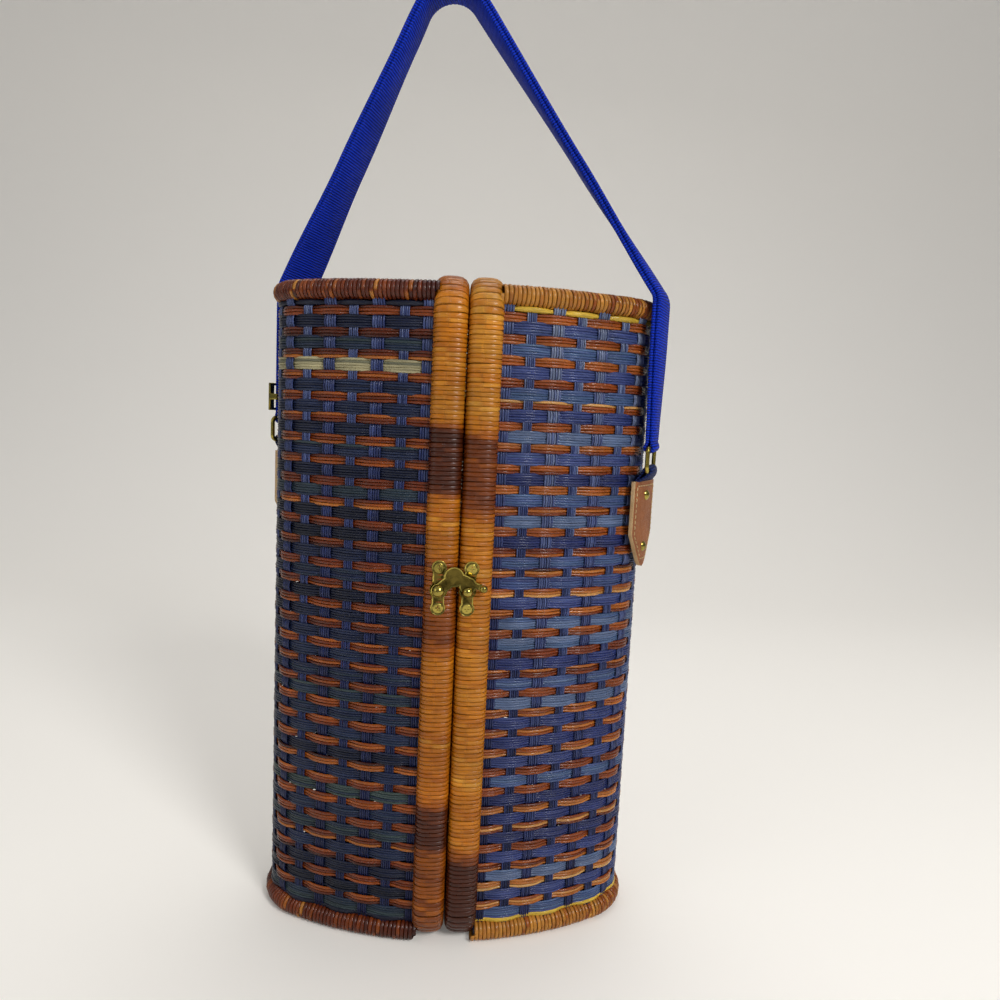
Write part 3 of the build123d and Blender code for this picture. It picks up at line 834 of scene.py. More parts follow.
@dataclass(frozen=True)
class LeatherFinish(Finish):
    """Leather with grain, its cut edge, or the thread in it.

    Attributes:
        colour: Main colour.
        worn: Colour of the worn places.
        grain: Depth of the grain in metres.
        rough: Roughness.
        marks: Scale of the marks of age.
        cells: Scale of the grain.
    """

    colour: str
    worn: str
    grain: float = 0.0002
    rough: float = 0.5
    marks: float = 55.0
    cells: float = 1400.0

    def paint(self, g: Graph) -> dict[str, object]:
        """Builds the finish.

        Args:
            g: The material's shader tree.

        Returns:
            The shader's inputs, by name.
        """
        age = self.age(g, self.marks)
        place = g.node("ShaderNodeTexCoord").outputs["Object"]
        inputs = {"Vector": place, "Scale": self.cells}
        cells = g.node("ShaderNodeTexVoronoi", inputs, feature="DISTANCE_TO_EDGE")
        crease = g.share(cells.outputs["Distance"], 0.0, 0.12)
        wear = g.math("MULTIPLY", age["Blotch"], 0.75)
        colour = g.mix(wear, linear(self.colour), linear(self.worn))
        return {
            "Base Color": g.lift(colour, g.between(crease, 0.78, 1.04)),
            "Roughness": g.between(age["Speckle"], self.rough - 0.1, self.rough + 0.12),
            "Normal": g.bump(g.math("MULTIPLY_ADD", age["Speckle"], 0.5, crease), self.grain),
        }


@dataclass(frozen=True)
class BrassFinish(Finish):
    """Aged brass with a darker patina.

    Attributes:
        bright: Colour of the metal where it is rubbed.
        patina: Colour of the patina.
        rough: Roughness of the rubbed metal.
        marks: Scale of the marks of age.
        relief: Depth of the marks in metres.
    """

    bright: str
    patina: str
    rough: float = 0.3
    marks: float = 130.0
    relief: float = 0.00001

    def paint(self, g: Graph) -> dict[str, object]:
        """Builds the finish.

        Args:
            g: The material's shader tree.

        Returns:
            The shader's inputs, by name.
        """
        age = self.age(g, self.marks)
        marks = g.math("MULTIPLY_ADD", age["Speckle"], 0.25, age["Blotch"])
        share = g.share(marks, 0.45, 1.25)
        return {
            "Base Color": g.mix(share, linear(self.bright), linear(self.patina)),
            "Roughness": g.between(share, self.rough, self.rough + 0.2),
            "Normal": g.bump(age["Speckle"], self.relief),
            "Metallic": 1.0,
        }


@dataclass(frozen=True)
class BackdropFinish(Finish):
    """A plain pale finish, lifted a little where the camera sees it.

    Attributes:
        colour: Its colour.
    """

    colour: str

    def paint(self, g: Graph) -> dict[str, object]:
        """Builds the finish.

        Args:
            g: The material's shader tree.

        Returns:
            The shader's inputs, by name.
        """
        seen = g.node("ShaderNodeLightPath").outputs["Is Camera Ray"]
        return {
            "Base Color": linear(self.colour),
            "Roughness": 0.9,
            "Emission Color": linear(self.colour),
            "Emission Strength": g.math("MULTIPLY", seen, 0.12),
        }


STILE_CANE = CaneFinish(
    "stile_cane",
    tones=(
        *((0.0, "1e0a04"), (0.2, "421a08"), (0.4, "7c3b0a")),
        *((0.6, "b05e0c"), (0.8, "ca7a14"), (1.0, "e4a238")),
    ),
    dark="4a1c04",
    streak=0.4,
    line=0.0005,
    rough=0.3,
    coat=0.22,
)
RIM_CANE = CaneFinish(
    "rim_cane",
    tones=((0.0, "1c0804"), (0.3, "461607"), (0.55, "722e0b"), (0.75, "a05014"), (1.0, "d69238")),
    dark="1e0804",
    streak=0.4,
    rough=0.3,
    coat=0.22,
)
BROWN_WEFT = CaneFinish(
    "brown_weft",
    tones=((0.0, "3a1206"), (0.35, "7e3410"), (0.6, "ac561a"), (0.8, "cc7a30"), (1.0, "ecb266")),
    dark="260c04",
    line=0.00025,
    rough=0.26,
    coat=0.25,
)
# Blue rows of the left half, much darker than BLUE_WEFT: painted shade of the half that lies away from the
# light.
SHADED_WEFT = CaneFinish(
    "night_weft",
    tones=(
        *((0.0, "0a0e1e"), (0.35, "141c38"), (0.6, "222e50")),
        *((0.75, "2a3a4a"), (0.9, "46564e"), (1.0, "ccc296")),
    ),
    dark="05070f",
    line=0.00025,
    coat=0.15,
)
BLUE_WEFT = CaneFinish(
    "blue_weft",
    tones=(
        *((0.0, "1e2654"), (0.35, "303c78"), (0.6, "46548e")),
        *((0.8, "4f6a92"), (0.94, "7284a8"), (1.0, "f8cc3c")),
    ),
    dark="0c1230",
    streak=0.55,
    line=0.00025,
    coat=0.2,
)
STAKE_SPLINT = CaneFinish(
    "stake_splint",
    tones=((0.0, "1a2248"), (0.3, "303c70"), (0.6, "5a689a"), (1.0, "98a4bc")),
    dark="0b1026",
    streak=0.55,
    line=0.00025,
    rough=0.4,
    coat=0.12,
)
BLUE_WEBBING = WebbingFinish("blue_webbing", colour="0e36c4", hollow="030a4a")
NAVY_WEBBING = WebbingFinish("navy_webbing", colour="1b2c66", hollow="080e2a")
ELASTIC_BAND = WebbingFinish("elastic_band", colour="2a2c38", hollow="0c0d14", pitch=0.0011, sheen=0.15)
TAN_LEATHER = LeatherFinish("tan_leather", colour="a8622c", worn="7a4019")
CUT_EDGE = LeatherFinish("leather_cut_edge", colour="d9b88a", worn="b98e5c", grain=0.0001, rough=0.7)
THREAD = LeatherFinish("stitch_thread", colour="cbb083", worn="a58a5c", grain=0.00005, rough=0.7)
ANTIQUE_BRASS = BrassFinish("antique_brass", bright="b4a250", patina="4a4420", rough=0.17)
DULL_BRASS = BrassFinish("dull_brass", bright="6a5c2a", patina="2a240c")
PALE_BACKDROP = BackdropFinish("pale_backdrop", colour="efebe4")


class Shop:
    """The finishes, each built once."""

    def __init__(self) -> None:
        self.made: dict[str, Material] = {}

    def __call__(self, finish: Finish) -> Material:
        """Gives a finish's material, and builds it the first time.

        Args:
            finish: The finish.

        Returns:
            Its material.
        """
        if finish.name not in self.made:
            self.made[finish.name] = finish.material()
        return self.made[finish.name]


@dataclass(frozen=True)
class BasketPlan:
    """The basket's sizes in millimetres, as the model has them."""

    half_width: float = 107.0
    half_depth: float = 52.0
    side_radius: float = 34.0
    pole_x: float = 9.05
    pole_y: float = 48.25
    pole_low: float = 8.15
    pole_high: float = 356.25
    pole_bend: float = 13.0
    pole_radius: float = 8.75
    rim_offset: float = -3.25
    rim_high: float = 355.25
    rim_low: float = 5.15
    rim_radius: float = 5.75
    weave_middle: float = -2.0

    @property
    def ends(self) -> dict[str, float]:
        """Heights of the top and bottom rims and panels."""
        return {"top": self.rim_high, "bottom": self.rim_low}

    @property
    def side_centre(self) -> float:
        """X of the side arcs' centre."""
        return self.half_width - self.side_radius

    @property
    def front_radius(self) -> float:
        """Radius of the front and back arcs."""
        rest = self.side_centre**2 + self.half_depth**2 - self.side_radius**2
        return rest / (2 * (self.half_depth - self.side_radius))

    @property
    def side_turn(self) -> float:
        """Half of the angle that a side arc covers, in radians."""
        return math.atan2(self.front_radius - self.half_depth, self.side_centre)

    @property
    def wall_length(self) -> float:
        """Length of one half's wall from stile to stile, on its outer face."""
        return 2 * self.front_length + 2 * self.side_turn * self.side_radius

    @property
    def front_start(self) -> float:
        """Angle at which the front arc leaves the stile."""
        return math.asin(self.pole_x / self.front_radius)

    @property
    def front_length(self) -> float:
        """Length of the front arc of one half."""
        return (math.pi / 2 - self.side_turn - self.front_start) * self.front_radius

    def wall(self, along: Array, offset: float | Array, side: Side, height: float | Array) -> Path:
        """Walks one half's wall from the front stile round to the back one.

        Args:
            along: Lengths from the front stile.
            offset: Distance outward from the wall's outer face.
            side: Which half.
            height: Height of the path.

        Returns:
            The path.
        """
        turned = 2 * self.side_turn * self.side_radius
        front = self.front_start + along / self.front_radius
        middle = -self.side_turn + (along - self.front_length) / self.side_radius
        back = math.pi / 2 - self.side_turn - (along - self.front_length - turned) / self.front_radius
        where = [along < self.front_length, along > self.front_length + turned]
        centre = self.front_radius - self.half_depth
        x = np.select(where, [np.sin(front), np.sin(back)], np.cos(middle))
        y = np.select(where, [-np.cos(front), np.cos(back)], np.sin(middle))
        radius = np.select(where, [self.front_radius] * 2, self.side_radius) + offset
        centre_x = np.select(where, [0.0, 0.0], self.side_centre)
        centre_y = np.select(where, [centre, -centre], 0.0)
        level, sign = np.zeros(len(along)), side.value
        points = np.stack([sign * (centre_x + radius * x), centre_y + radius * y, level + height], axis=1)
        outward = np.stack([sign * x, y, level], axis=1)
        return Path(points, outward, np.stack([-sign * y, x, level], axis=1))

    def half_height(self, x: float, offset: float) -> float:
        """Half depth of the outline at a distance from the middle.

        Args:
            x: The distance from the middle.
            offset: How far the outline is moved outward.

        Returns:
            The half depth.
        """
        join = self.side_centre + (self.side_radius + offset) * math.cos(self.side_turn)
        if x < join:
            return math.sqrt((self.front_radius + offset) ** 2 - x**2) - (self.front_radius - self.half_depth)
        reach = (self.side_radius + offset) ** 2 - (x - self.side_centre) ** 2
        return math.sqrt(max(0.0, reach))

    def reach_at(self, y: float, offset: float) -> float:
        """How far the outline reaches sideways at a depth.

        Args:
            y: The depth.
            offset: How far the outline is moved outward.

        Returns:
            The distance from the middle.
        """
        low, high = 0.0, self.half_width + offset
        for _ in range(40):
            middle = (low + high) / 2
            low, high = (middle, high) if self.half_height(middle, offset) > abs(y) else (low, middle)
        return low

    @property
    def pole_length(self) -> float:
        """Length of one half's bent pole, once round."""
        straight = (self.pole_high - self.pole_low) + 2 * self.pole_y - 4 * self.pole_bend
        return 2 * straight + 2 * math.pi * self.pole_bend

    def pole(self, along: Array, side: Side) -> Path:
        """Walks once round one half's bent pole, from the middle of its lower rail.

        Args:
            along: Lengths from the start.
            side: Which half.

        Returns:
            The path, with directions away from the loop's middle.
        """
        bend, quarter = self.pole_bend, self.pole_bend * math.pi / 2
        flat, rise = self.pole_y - bend, self.pole_high - self.pole_low - 2 * bend
        pieces = [flat, quarter, rise, quarter, 2 * flat, quarter, rise, quarter, flat]
        starts = np.concatenate([[0.0], np.cumsum(pieces)])
        place, heading = np.array([0.0, self.pole_low]), -math.pi
        path = Path(*(np.zeros((len(along), 3)) for _ in range(3)))
        path.points[:, 0] = side.value * self.pole_x
        for index, length in enumerate(pieces):
            here = (along >= starts[index]) & (along <= starts[index + 1] + 1e-9)
            t = np.append(along[here] - starts[index], length)
            bent = index % 2 == 1
            facing = heading - t / bend if bent else np.full(len(t), heading)
            if bent:
                centre = place + bend * np.array([math.sin(heading), -math.cos(heading)])
                spots = centre + bend * np.stack([-np.sin(facing), np.cos(facing)], axis=1)
            else:
                spots = place + t[:, None] * np.array([math.cos(heading), math.sin(heading)])
            path.points[here, 1:] = spots[:-1]
            path.outward[here, 1:] = np.stack([-np.sin(facing), np.cos(facing)], axis=1)[:-1]
            path.travel[here, 1:] = np.stack([np.cos(facing), np.sin(facing)], axis=1)[:-1]
            place, heading = spots[-1], facing[-1]
        return path


PLAN = BasketPlan()


@dataclass(frozen=True)
class Winding:
    """How cane is wound round a round core.

    Attributes:
        radius: Radius of the winding in the model.
        swell: How much further out the cane lies.
        pitch: Width of one wrap.
        steps: Stations to a turn.
        thickness: Half thickness of the cane.
        change: Spread of the tone from wrap to wrap.
        pale: Extra tone of the paler wraps, and their share.
        uneven: How far inward a wrap may lie.
        slant: Mean and spread of the wraps' lean along the path.
        edge: Where the cane's edges lie, as a share of its half thickness.
        core: Number of the core's sides, and its tone.
    """

    radius: float
    swell: float
    pitch: float
    steps: int
    thickness: float
    change: float
    pale: tuple[float, float]
    uneven: float
    slant: tuple[float, float]
    edge: float
    core: tuple[int, float]

    def stations(self, start: float, end: float) -> Array:
        """Lengths of the stations of as many whole wraps as fit between two lengths."""
        return np.linspace(start, end, int((end - start) / self.pitch) * self.steps + 1)

    def turns(self, stations: int) -> Array:
        """Angle of the cane round the path at each station."""
        return 2 * math.pi * np.arange(stations) / self.steps

    def eased(self, values: Array, stations: int) -> Array:
        """Eases one value for each wrap into one for each station."""
        return np.interp(np.arange(stations) / self.steps, np.arange(len(values)), values)

    def coil(self, path: Path, reach: Array, tone: Array, slant: Array) -> Run:
        """Winds the cane round a path, as wide everywhere as the room from one turn to the next.

        Args:
            path: The path.
            reach: Distance from the path to the cane's middle at each station.
            tone: Colour value at each station.
            slant: How far each turn leans along the path, at each station.

        Returns:
            The winding as a run.
        """
        turn = self.turns(len(path.points))
        other = np.cross(path.travel, path.outward)
        outward = path.outward * np.cos(turn)[:, None] + other * np.sin(turn)[:, None]
        lean = path.travel * (slant * np.cos(turn + 1.1))[:, None]
        middle = path.points + outward * reach[:, None] + lean
        room = np.linalg.norm(middle[self.steps :] - middle[: -self.steps], axis=1)
        ahead = np.concatenate([room, room[-self.steps :]])
        behind = np.concatenate([room[: self.steps], room])
        half = (ahead + behind)[:, None] / 4
        return Run.through(middle, path.travel * half, outward * self.thickness, tone)

    def wind(
        self,
        name: str,
        path: Path,
        inner: Path,
        shade: Array,
        rng: np.random.Generator,
        shape: float | Array = 1.0,
    ) -> Piece:
        """Models the wound cane and the core under it.

        Args:
            name: The piece's name.
            path: Path of the winding.
            inner: Path of the core.
            shade: The cane's tone at each station before it changes from wrap to wrap.
            rng: Source of the small changes.
            shape: Factor on the cane's distance at each station.

        Returns:
            The piece, pressed onto the floor.
        """
        stations = len(path.points)
        wraps = stations // self.steps + 2
        change = rng.normal(0, self.change, wraps) + self.pale[0] * (rng.random(wraps) < self.pale[1])
        tone = np.clip(shade + change[np.arange(stations) // self.steps], *TONE_LIMITS)
        uneven = self.eased(rng.uniform(-self.uneven, 0.0, wraps), stations)
        reach = (self.radius + self.swell - self.thickness + uneven) * shape
        slant = self.eased(rng.normal(*self.slant, wraps), stations)
        wrap = Bench.lay(name, Section.lens(self.edge), self.coil(path, reach, tone, slant))
        radius = self.radius - 2 * self.thickness - 0.05
        across = np.cross(inner.travel, inner.outward)
        core = Run.through(inner.points, across * radius, inner.outward * radius, self.core[1])
        piece = Bench.join(name, [wrap, Bench.lay("core", Section.round(self.core[0]), core)])
        Bench.press(piece)
        return piece


@dataclass
class StileWraps:
    """Cane wound round each half's bent pole.

    Attributes:
        side: Which half.
        bands: Heights at the front stile and the tone there.
        square: How squarely the cane lies round the pole, 2 being round.
        winding: How the cane is wound.
    """

    side: Side
    bands: tuple[tuple[float, float], ...]
    square: float = 3.3
    winding: Winding = Winding(
        radius=PLAN.pole_radius,
        swell=0.27,
        pitch=2.4,
        steps=24,
        thickness=0.42,
        change=0.045,
        pale=(0.12, 0.06),
        uneven=0.05,
        slant=(0.35, 0.16),
        edge=0.1,
        core=(14, 0.3),
    )

    def shade(self, points: Array) -> Array:
        """Tone at each station: bands over the height in front, the same but weaker at the back."""
        base = np.interp(points[:, 2], *zip(*self.bands))
        return np.where(points[:, 1] > 0, 0.25 + 0.6 * base, base)

    def build(self, shop: Shop) -> None:
        """Builds the wrap and the wood under it."""
        rng = np.random.default_rng(SEEDS["stile"] + self.side.value)
        path = PLAN.pole(self.winding.stations(0, PLAN.pole_length), self.side)
        inner = PLAN.pole(np.linspace(0, PLAN.pole_length, 181), self.side)
        turn = self.winding.turns(len(path.points))
        corner = np.abs(np.cos(turn)) ** self.square + np.abs(np.sin(turn)) ** self.square
        word, shape = self.side.word, corner ** (-1 / self.square)
        wrap = self.winding.wind(f"{word}_stile_wrap", path, inner, self.shade(path.points), rng, shape)
        nodes = (f"{word}_frame_binding", f"{word}_frame_pole")
        Bench.fit(wrap, Slot.STILE, self.side.shell, nodes, shop(STILE_CANE))


@dataclass
class RimWraps:
    """Cane wound round a half's top and bottom rims.

    Attributes:
        side: Which half.
        tone: Middle tone of the cane.
        end: Length from the stile's middle to the first wrap.
        sunk: How much sooner the core ends than the wraps.
        winding: How the cane is wound.
    """

    side: Side
    tone: float
    end: float = 7.0
    sunk: float = 2.0
    winding: Winding = Winding(
        radius=PLAN.rim_radius,
        swell=0.0,
        pitch=2.25,
        steps=16,
        thickness=0.38,
        change=0.08,
        pale=(0.3, 0.12),
        uneven=0.3,
        slant=(0.4, 0.2),
        edge=-0.5,
        # The core is the rim cane under the wraps; its near-black tone of 0.05 paints the shade in the grooves
        # between them.
        core=(12, 0.05),
    )

    def build(self, shop: Shop) -> None:
        """Builds both rims of the half."""
        rng = np.random.default_rng(SEEDS["rim"] + self.side.value)
        along = self.winding.stations(self.end, PLAN.wall_length - self.end)
        short = np.linspace(self.end + self.sunk, PLAN.wall_length - self.end - self.sunk, 121)
        shade = self.tone + 0.1 * np.sin(along / 31.0 + self.side.value)
        for place, height in PLAN.ends.items():
            path, inner = (PLAN.wall(way, PLAN.rim_offset, self.side, height) for way in (along, short))
            name = f"{self.side.word}_{place}_rim"
            wrap = self.winding.wind(f"{name}_wrap", path, inner, shade, rng)
            nodes = (f"{name}_binding", f"{name}_cane")
            Bench.fit(wrap, Slot.RIM, self.side.shell, nodes, shop(RIM_CANE))


@dataclass(frozen=True)
class Bundle:
    """A row's bundle of strands.

    Attributes:
        count: Number of strands.
        room: Height from strand to strand.
        half: Half width of a strand.
        thick: Half thickness of a strand.
        reach: How far the row swings out at the stakes that it passes outside, negative for the others.
        spread: How much the strands differ in tone.
        loose: How far the strands' ends stray.
        section: A strand's cross-section.
    """

    count: int
    room: float
    half: float
    thick: float
    reach: float
    spread: float
    loose: float
    section: Section


BLUE_ROW = Bundle(
    count=5, room=1.34, half=0.76, thick=SPLINT, reach=0.72, spread=0.06, loose=0.0, section=Section.reed()
)
BROWN_ROW = Bundle(
    count=3, room=1.62, half=0.88, thick=0.748, reach=-0.95, spread=0.19, loose=0.55, section=Section.round(6)
)
BLUE_TONES = (0.16, 0.34, 0.48, 0.6, 0.74, 0.86)


@dataclass
class WovenWall:
    """One half's wall: upright stakes, blue rows and brown rows, each a bundle of fine strands.

    Attributes:
        side: Which half.
        finish: Finish of the blue rows.
        pale_rows: Blue rows that are left pale.
        edge_tone: Tone of the single strands beside the rims.
        stake_tone: Tone of the stakes at the bottom.
        brown_tone: Tone of the brown rows.
        stakes: Number of upright stakes.
        stake_strands: Number of strands in a stake.
        stake_rooms: Room of a strand in the wider stakes, what it gains upward, and its room in the others.
        stake_fade: How much paler the stakes are at the top.
        height: Height over which the stakes change.
        first_stake: Length along the wall from the front stile to the first stake.
        rows: Number of brown rows, with a blue one under each.
        top_row: Height of the uppermost brown row.
        row_pitch: Height from a brown row to the next.
        stations: Stations along a row.
    """

    side: Side
    finish: CaneFinish
    pale_rows: tuple[int, ...]
    edge_tone: float
    stake_tone: float
    brown_tone: float
    stakes: int = 17
    stake_strands: int = 5
    stake_rooms: tuple[float, float, float] = (1.12, 0.3, 1.06)
    stake_fade: float = 0.62
    height: float = 360.0
    first_stake: float = 10.7
    rows: int = 30
    top_row: float = 344.6
    row_pitch: float = 11.15
    stations: int = 102

    @property
    def stake_pitch(self) -> float:
        """Length along the wall from one upright stake to the next."""
        return (PLAN.wall_length - 2 * self.first_stake) / (self.stakes - 1)

    def wave(self, along: Array) -> Array:
        """How far a row stands out as it passes the stakes: -1 at the first, 1 at the next."""
        return -ripple(math.pi * (along - self.first_stake) / self.stake_pitch)

    def uprights(self, rng: np.random.Generator) -> list[Piece]:
        """Models the upright stakes, the ones over the blue rows wider than the others.

        Args:
            rng: Source of the small changes.

        Returns:
            The strands.
        """
        made, (wide, gain, narrow) = [], self.stake_rooms
        z = np.linspace(PLAN.rim_low - 1.0, PLAN.rim_high + 1.0, 189)
        swing = ripple(2 * math.pi * (z - (self.top_row - self.row_pitch / 2)) / self.row_pitch)
        for index in range(self.stakes):
            sign, room = (1, wide + gain * z / self.height) if index % 2 == 0 else (-1, np.full(len(z), narrow))
            lean = rng.normal(0, 0.5) * (z - self.height / 2) / (self.height / 2)
            base = self.first_stake + index * self.stake_pitch + lean
            shade = self.stake_tone + self.stake_fade * (z / self.height) ** 1.5 + rng.normal(0, 0.06)
            for strand in range(self.stake_strands):
                drift = 0.1 * np.sin(z / rng.uniform(9, 21) + rng.uniform(0, 6))
                place = base + (strand - (self.stake_strands - 1) / 2) * room + drift
                own = PLAN.weave_middle + 0.7 * sign * swing + rng.normal(0, 0.05)
                path = PLAN.wall(place, own, self.side, z)
                tone = np.clip(shade + rng.normal(0, 0.1), *TONE_LIMITS)
                width = path.travel * (room * rng.uniform(0.44, 0.52))[:, None]
                run = Run.through(path.points, width, path.outward * SPLINT, tone, rng.uniform(0, 400))
                made.append(Bench.lay("stake", Section.reed(), run))
        return made

    def row(self, z: float, rng: np.random.Generator, kind: Bundle, tone: float) -> list[Piece]:
        """Models one row.

        Args:
            z: Its height.
            rng: Source of the small changes.
            kind: Its bundle of strands.
            tone: Its middle tone, 1 for a pale row.

        Returns:
            The strands.
        """
        made = []
        end = 1.0 + rng.uniform(-0.6, 0.6, 2)
        along = np.linspace(-end[0], PLAN.wall_length + end[1], self.stations)
        swing = self.wave(along) * kind.reach
        wander = 0.22 * np.sin(along / 23.0 + rng.uniform(0, 6))
        start = rng.uniform(0, 900)
        near = np.exp(-along.clip(0) / 3.0)
        far = np.exp(-(PLAN.wall_length - along).clip(0) / 3.0)
        lightest = 0.93 if kind is BLUE_ROW and tone < 1 else 1.0
        for strand in range(kind.count):
            own = PLAN.weave_middle + swing + rng.normal(0, 0.07)
            drift = 0.09 * np.sin(along / rng.uniform(5, 12) + rng.uniform(0, 6))
            loose = rng.normal(0, kind.loose) * near + rng.normal(0, kind.loose) * far if kind.loose else 0.0
            height = z + wander + drift + loose + (strand - (kind.count - 1) / 2) * kind.room
            path = PLAN.wall(along, own, self.side, height)
            up = UP * (kind.half * rng.uniform(0.9, 1.04))
            shade = np.clip(rng.normal(tone, kind.spread), TONE_LIMITS[0], lightest)
            run = Run.through(path.points, up, path.outward * kind.thick, shade, start + 50 * strand)
            made.append(Bench.lay("strand", kind.section, run))
        return made

    def edges(self, rng: np.random.Generator) -> list[Piece]:
        """Models the single strands that close the weave beside the rims.

        Args:
            rng: Source of the small changes.

        Returns:
            The strands.
        """
        made = []
        along = np.linspace(-1.0, PLAN.wall_length + 1.0, self.stations)
        for middle in (self.top_row + 3.9, self.top_row - self.rows * self.row_pitch + 1.5):
            height = middle + 0.2 * np.sin(along / 17.0 + rng.uniform(0, 6))
            path = PLAN.wall(along, PLAN.weave_middle + 0.9 * self.wave(along), self.side, height)
            run = Run.through(path.points, UP * 1.5, path.outward * 0.7, self.edge_tone, rng.uniform(0, 400))
            made.append(Bench.lay("edge", Section.reed(), run))
        return made

    def build(self, shop: Shop) -> None:
        """Builds the wall in three pieces."""
        rng = np.random.default_rng(SEEDS["wall"] + self.side.value)
        blues, browns = self.edges(rng), []
        for index in range(self.rows):
            z = self.top_row - index * self.row_pitch
            tone = 1.0 if index in self.pale_rows else float(rng.choice(BLUE_TONES))
            browns += self.row(z, rng, BROWN_ROW, self.brown_tone)
            blues += self.row(z - self.row_pitch / 2, rng, BLUE_ROW, tone)
        word = self.side.word
        for name, strands, finish, nodes in (
            ("uprights", self.uprights(rng), STAKE_SPLINT, (f"{word}_woven_wall",)),
            ("blue_rows", blues, self.finish, ()),
            ("brown_rows", browns, BROWN_WEFT, ()),
        ):
            piece = Bench.join(f"{word}_{name}", strands)
            Bench.fit(piece, Slot.WEAVE, self.side.shell, nodes, shop(finish))


class Strip(NamedTuple):
    """A panel's strand: half its width, half its thickness, its rise and its cross-section."""

    half: float
    thick: float
    rise: float
    section: Section


@dataclass
class EndPanels:
    """The woven top and bottom of one half.

    Attributes:
        side: Which half.
        ribs: Depths of the splints that run from the frame outward.
        rib_pitch: Distance from splint to splint.
        inner: Distance of the splints' inner ends from the middle.
        first: Distance of the first crossing row from the middle.
        pitch: Distance from row to row.
        clear: Room from the last crossing row to the wall's outer face, at least.
        spacing: Distance from station to station along a strand.
        canes: Places of a brown row's strands across it.
        rib: Strand of the splints.
        blue: Strand of the blue rows.
        brown: Strand of the brown rows.
    """

    side: Side
    ribs: tuple[float, ...] = (-37.0, -25.0, -12.5, 0.0, 12.5, 25.0, 37.0)
    rib_pitch: float = 12.5
    inner: float = 6.0
    first: float = 15.5
    pitch: float = 5.45
    clear: float = 8.0
    spacing: float = 2.2
    canes: tuple[float, ...] = (-1.875, -0.625, 0.625, 1.875)
    rib: Strip = Strip(half=3.4, thick=0.5, rise=0.55, section=Section.flat(0.82))
    blue: Strip = Strip(half=3.0, thick=0.5, rise=0.6, section=Section.flat(0.82))
    brown: Strip = Strip(half=0.7, thick=0.7, rise=0.6, section=Section.round(6))

    def over_rows(self, points: Array) -> Array:
        """Turn of a splint's wave over the crossing rows."""
        return math.pi * (np.abs(points[:, 0]) - self.first) / self.pitch

    def over_ribs(self, points: Array) -> Array:
        """Turn of a row's wave over the splints."""
        return math.pi * points[:, 1] / self.rib_pitch + math.pi

    def strip(
        self, kind: Strip, ends: Sequence[tuple[float, float]], height: float, phase: int, tone: float
    ) -> Piece:
        """Models one strand of a flat panel.

        Args:
            kind: The kind of strand.
            ends: Its ends on the right half, as X and Y.
            height: The panel's middle height.
            phase: 1 or -1, for over or under first.
            tone: Its colour value.

        Returns:
            The strand.
        """
        start, end = (np.array([self.side.value * x, y]) for x, y in ends)
        length = float(np.linalg.norm(end - start))
        along = np.linspace(0, length, max(8, int(length / self.spacing)))
        way = (end - start) / length
        points = np.zeros((len(along), 3))
        points[:, :2] = start + along[:, None] * way
        turn = self.over_rows(points) if kind is self.rib else self.over_ribs(points)
        points[:, 2] = height + phase * kind.rise * ripple(turn)
        wide = np.array([way[1] * kind.half, -way[0] * kind.half, 0.0])
        return Bench.lay("strip", kind.section, Run.through(points, wide, UP * kind.thick, tone))

    def build(self, shop: Shop) -> None:
        """Builds both panels of the half."""
        rng = np.random.default_rng(SEEDS["panel"] + self.side.value)
        rows = int((PLAN.half_width - self.clear - self.first) / self.pitch)
        for place, height in PLAN.ends.items():
            blues, browns = [], []
            for index, y in enumerate(self.ribs):
                ends = ((self.inner, y), (PLAN.reach_at(y, PLAN.rim_offset), y))
                blues.append(self.strip(self.rib, ends, height, (-1) ** index, rng.uniform(0.3, 0.9)))
            for row in range(rows):
                x = self.first + row * self.pitch
                reach = min(PLAN.half_height(x, PLAN.rim_offset), PLAN.pole_y)
                if row % 2 == 0:
                    ends = ((x, -reach), (x, reach))
                    blues.append(self.strip(self.blue, ends, height, -1, rng.uniform(0.1, 0.9)))
                    continue
                for shift in self.canes:
                    ends = ((x + shift, -reach), (x + shift, reach))
                    tone = float(np.clip(rng.normal(0.45, 0.2), *TONE_LIMITS))
                    browns.append(self.strip(self.brown, ends, height, 1, tone))
            word = f"{self.side.word}_{place}_panel"
            for name, strands, finish, nodes in (
                ("splints", blues, BLUE_WEFT, (word,)),
                ("canes", browns, BROWN_WEFT, ()),
            ):
                piece = Bench.join(f"{word}_{name}", strands)
                Bench.fit(piece, Slot.WEAVE, self.side.shell, nodes, shop(finish))


@dataclass
class BottleBand:
    """Ribbed elastic across a half, with its tacks left as they are in the model.

    Attributes:
        side: Which half.
        height: Height of its middle.
        width: Width of the band.
        thickness: Thickness of the band.
        bend: The band's turn round a stile, as X and distance inward from the stile's inner face.
    """

    side: Side
    height: float = 215.0
    width: float = 25.0
    thickness: float = 1.2
    bend: tuple[tuple[float, float], ...] = ((14.0, 0.0), (7.4, 0.0), (6.1, 0.5), (5.6, 1.8))

    def build(self, shop: Shop) -> None:
        """Builds the band."""
        inner = PLAN.pole_y - PLAN.pole_radius - self.thickness / 2
        corners = [(x, -inner + depth) for x, depth in self.bend]
        corners += [(self.bend[-1][0], y) for y in np.linspace(-inner + 4, inner - 4, 60)]
        corners += [(x, inner - depth) for x, depth in reversed(self.bend)]
        points = np.array([(self.side.value * x, y, self.height) for x, y in corners])
        up = UP * self.width / 2
        out = unit(np.cross(unit(np.gradient(points, axis=0)), up)) * self.thickness / 2
        band = Bench.lay(f"{self.side.word}_elastic_band", Section.flat(0.94), Run.through(points, up, out))
        nodes = (f"{self.side.word}_bottle_band",)
        Bench.fit(band, Slot.ELASTIC, self.side.shell, nodes, shop(ELASTIC_BAND))


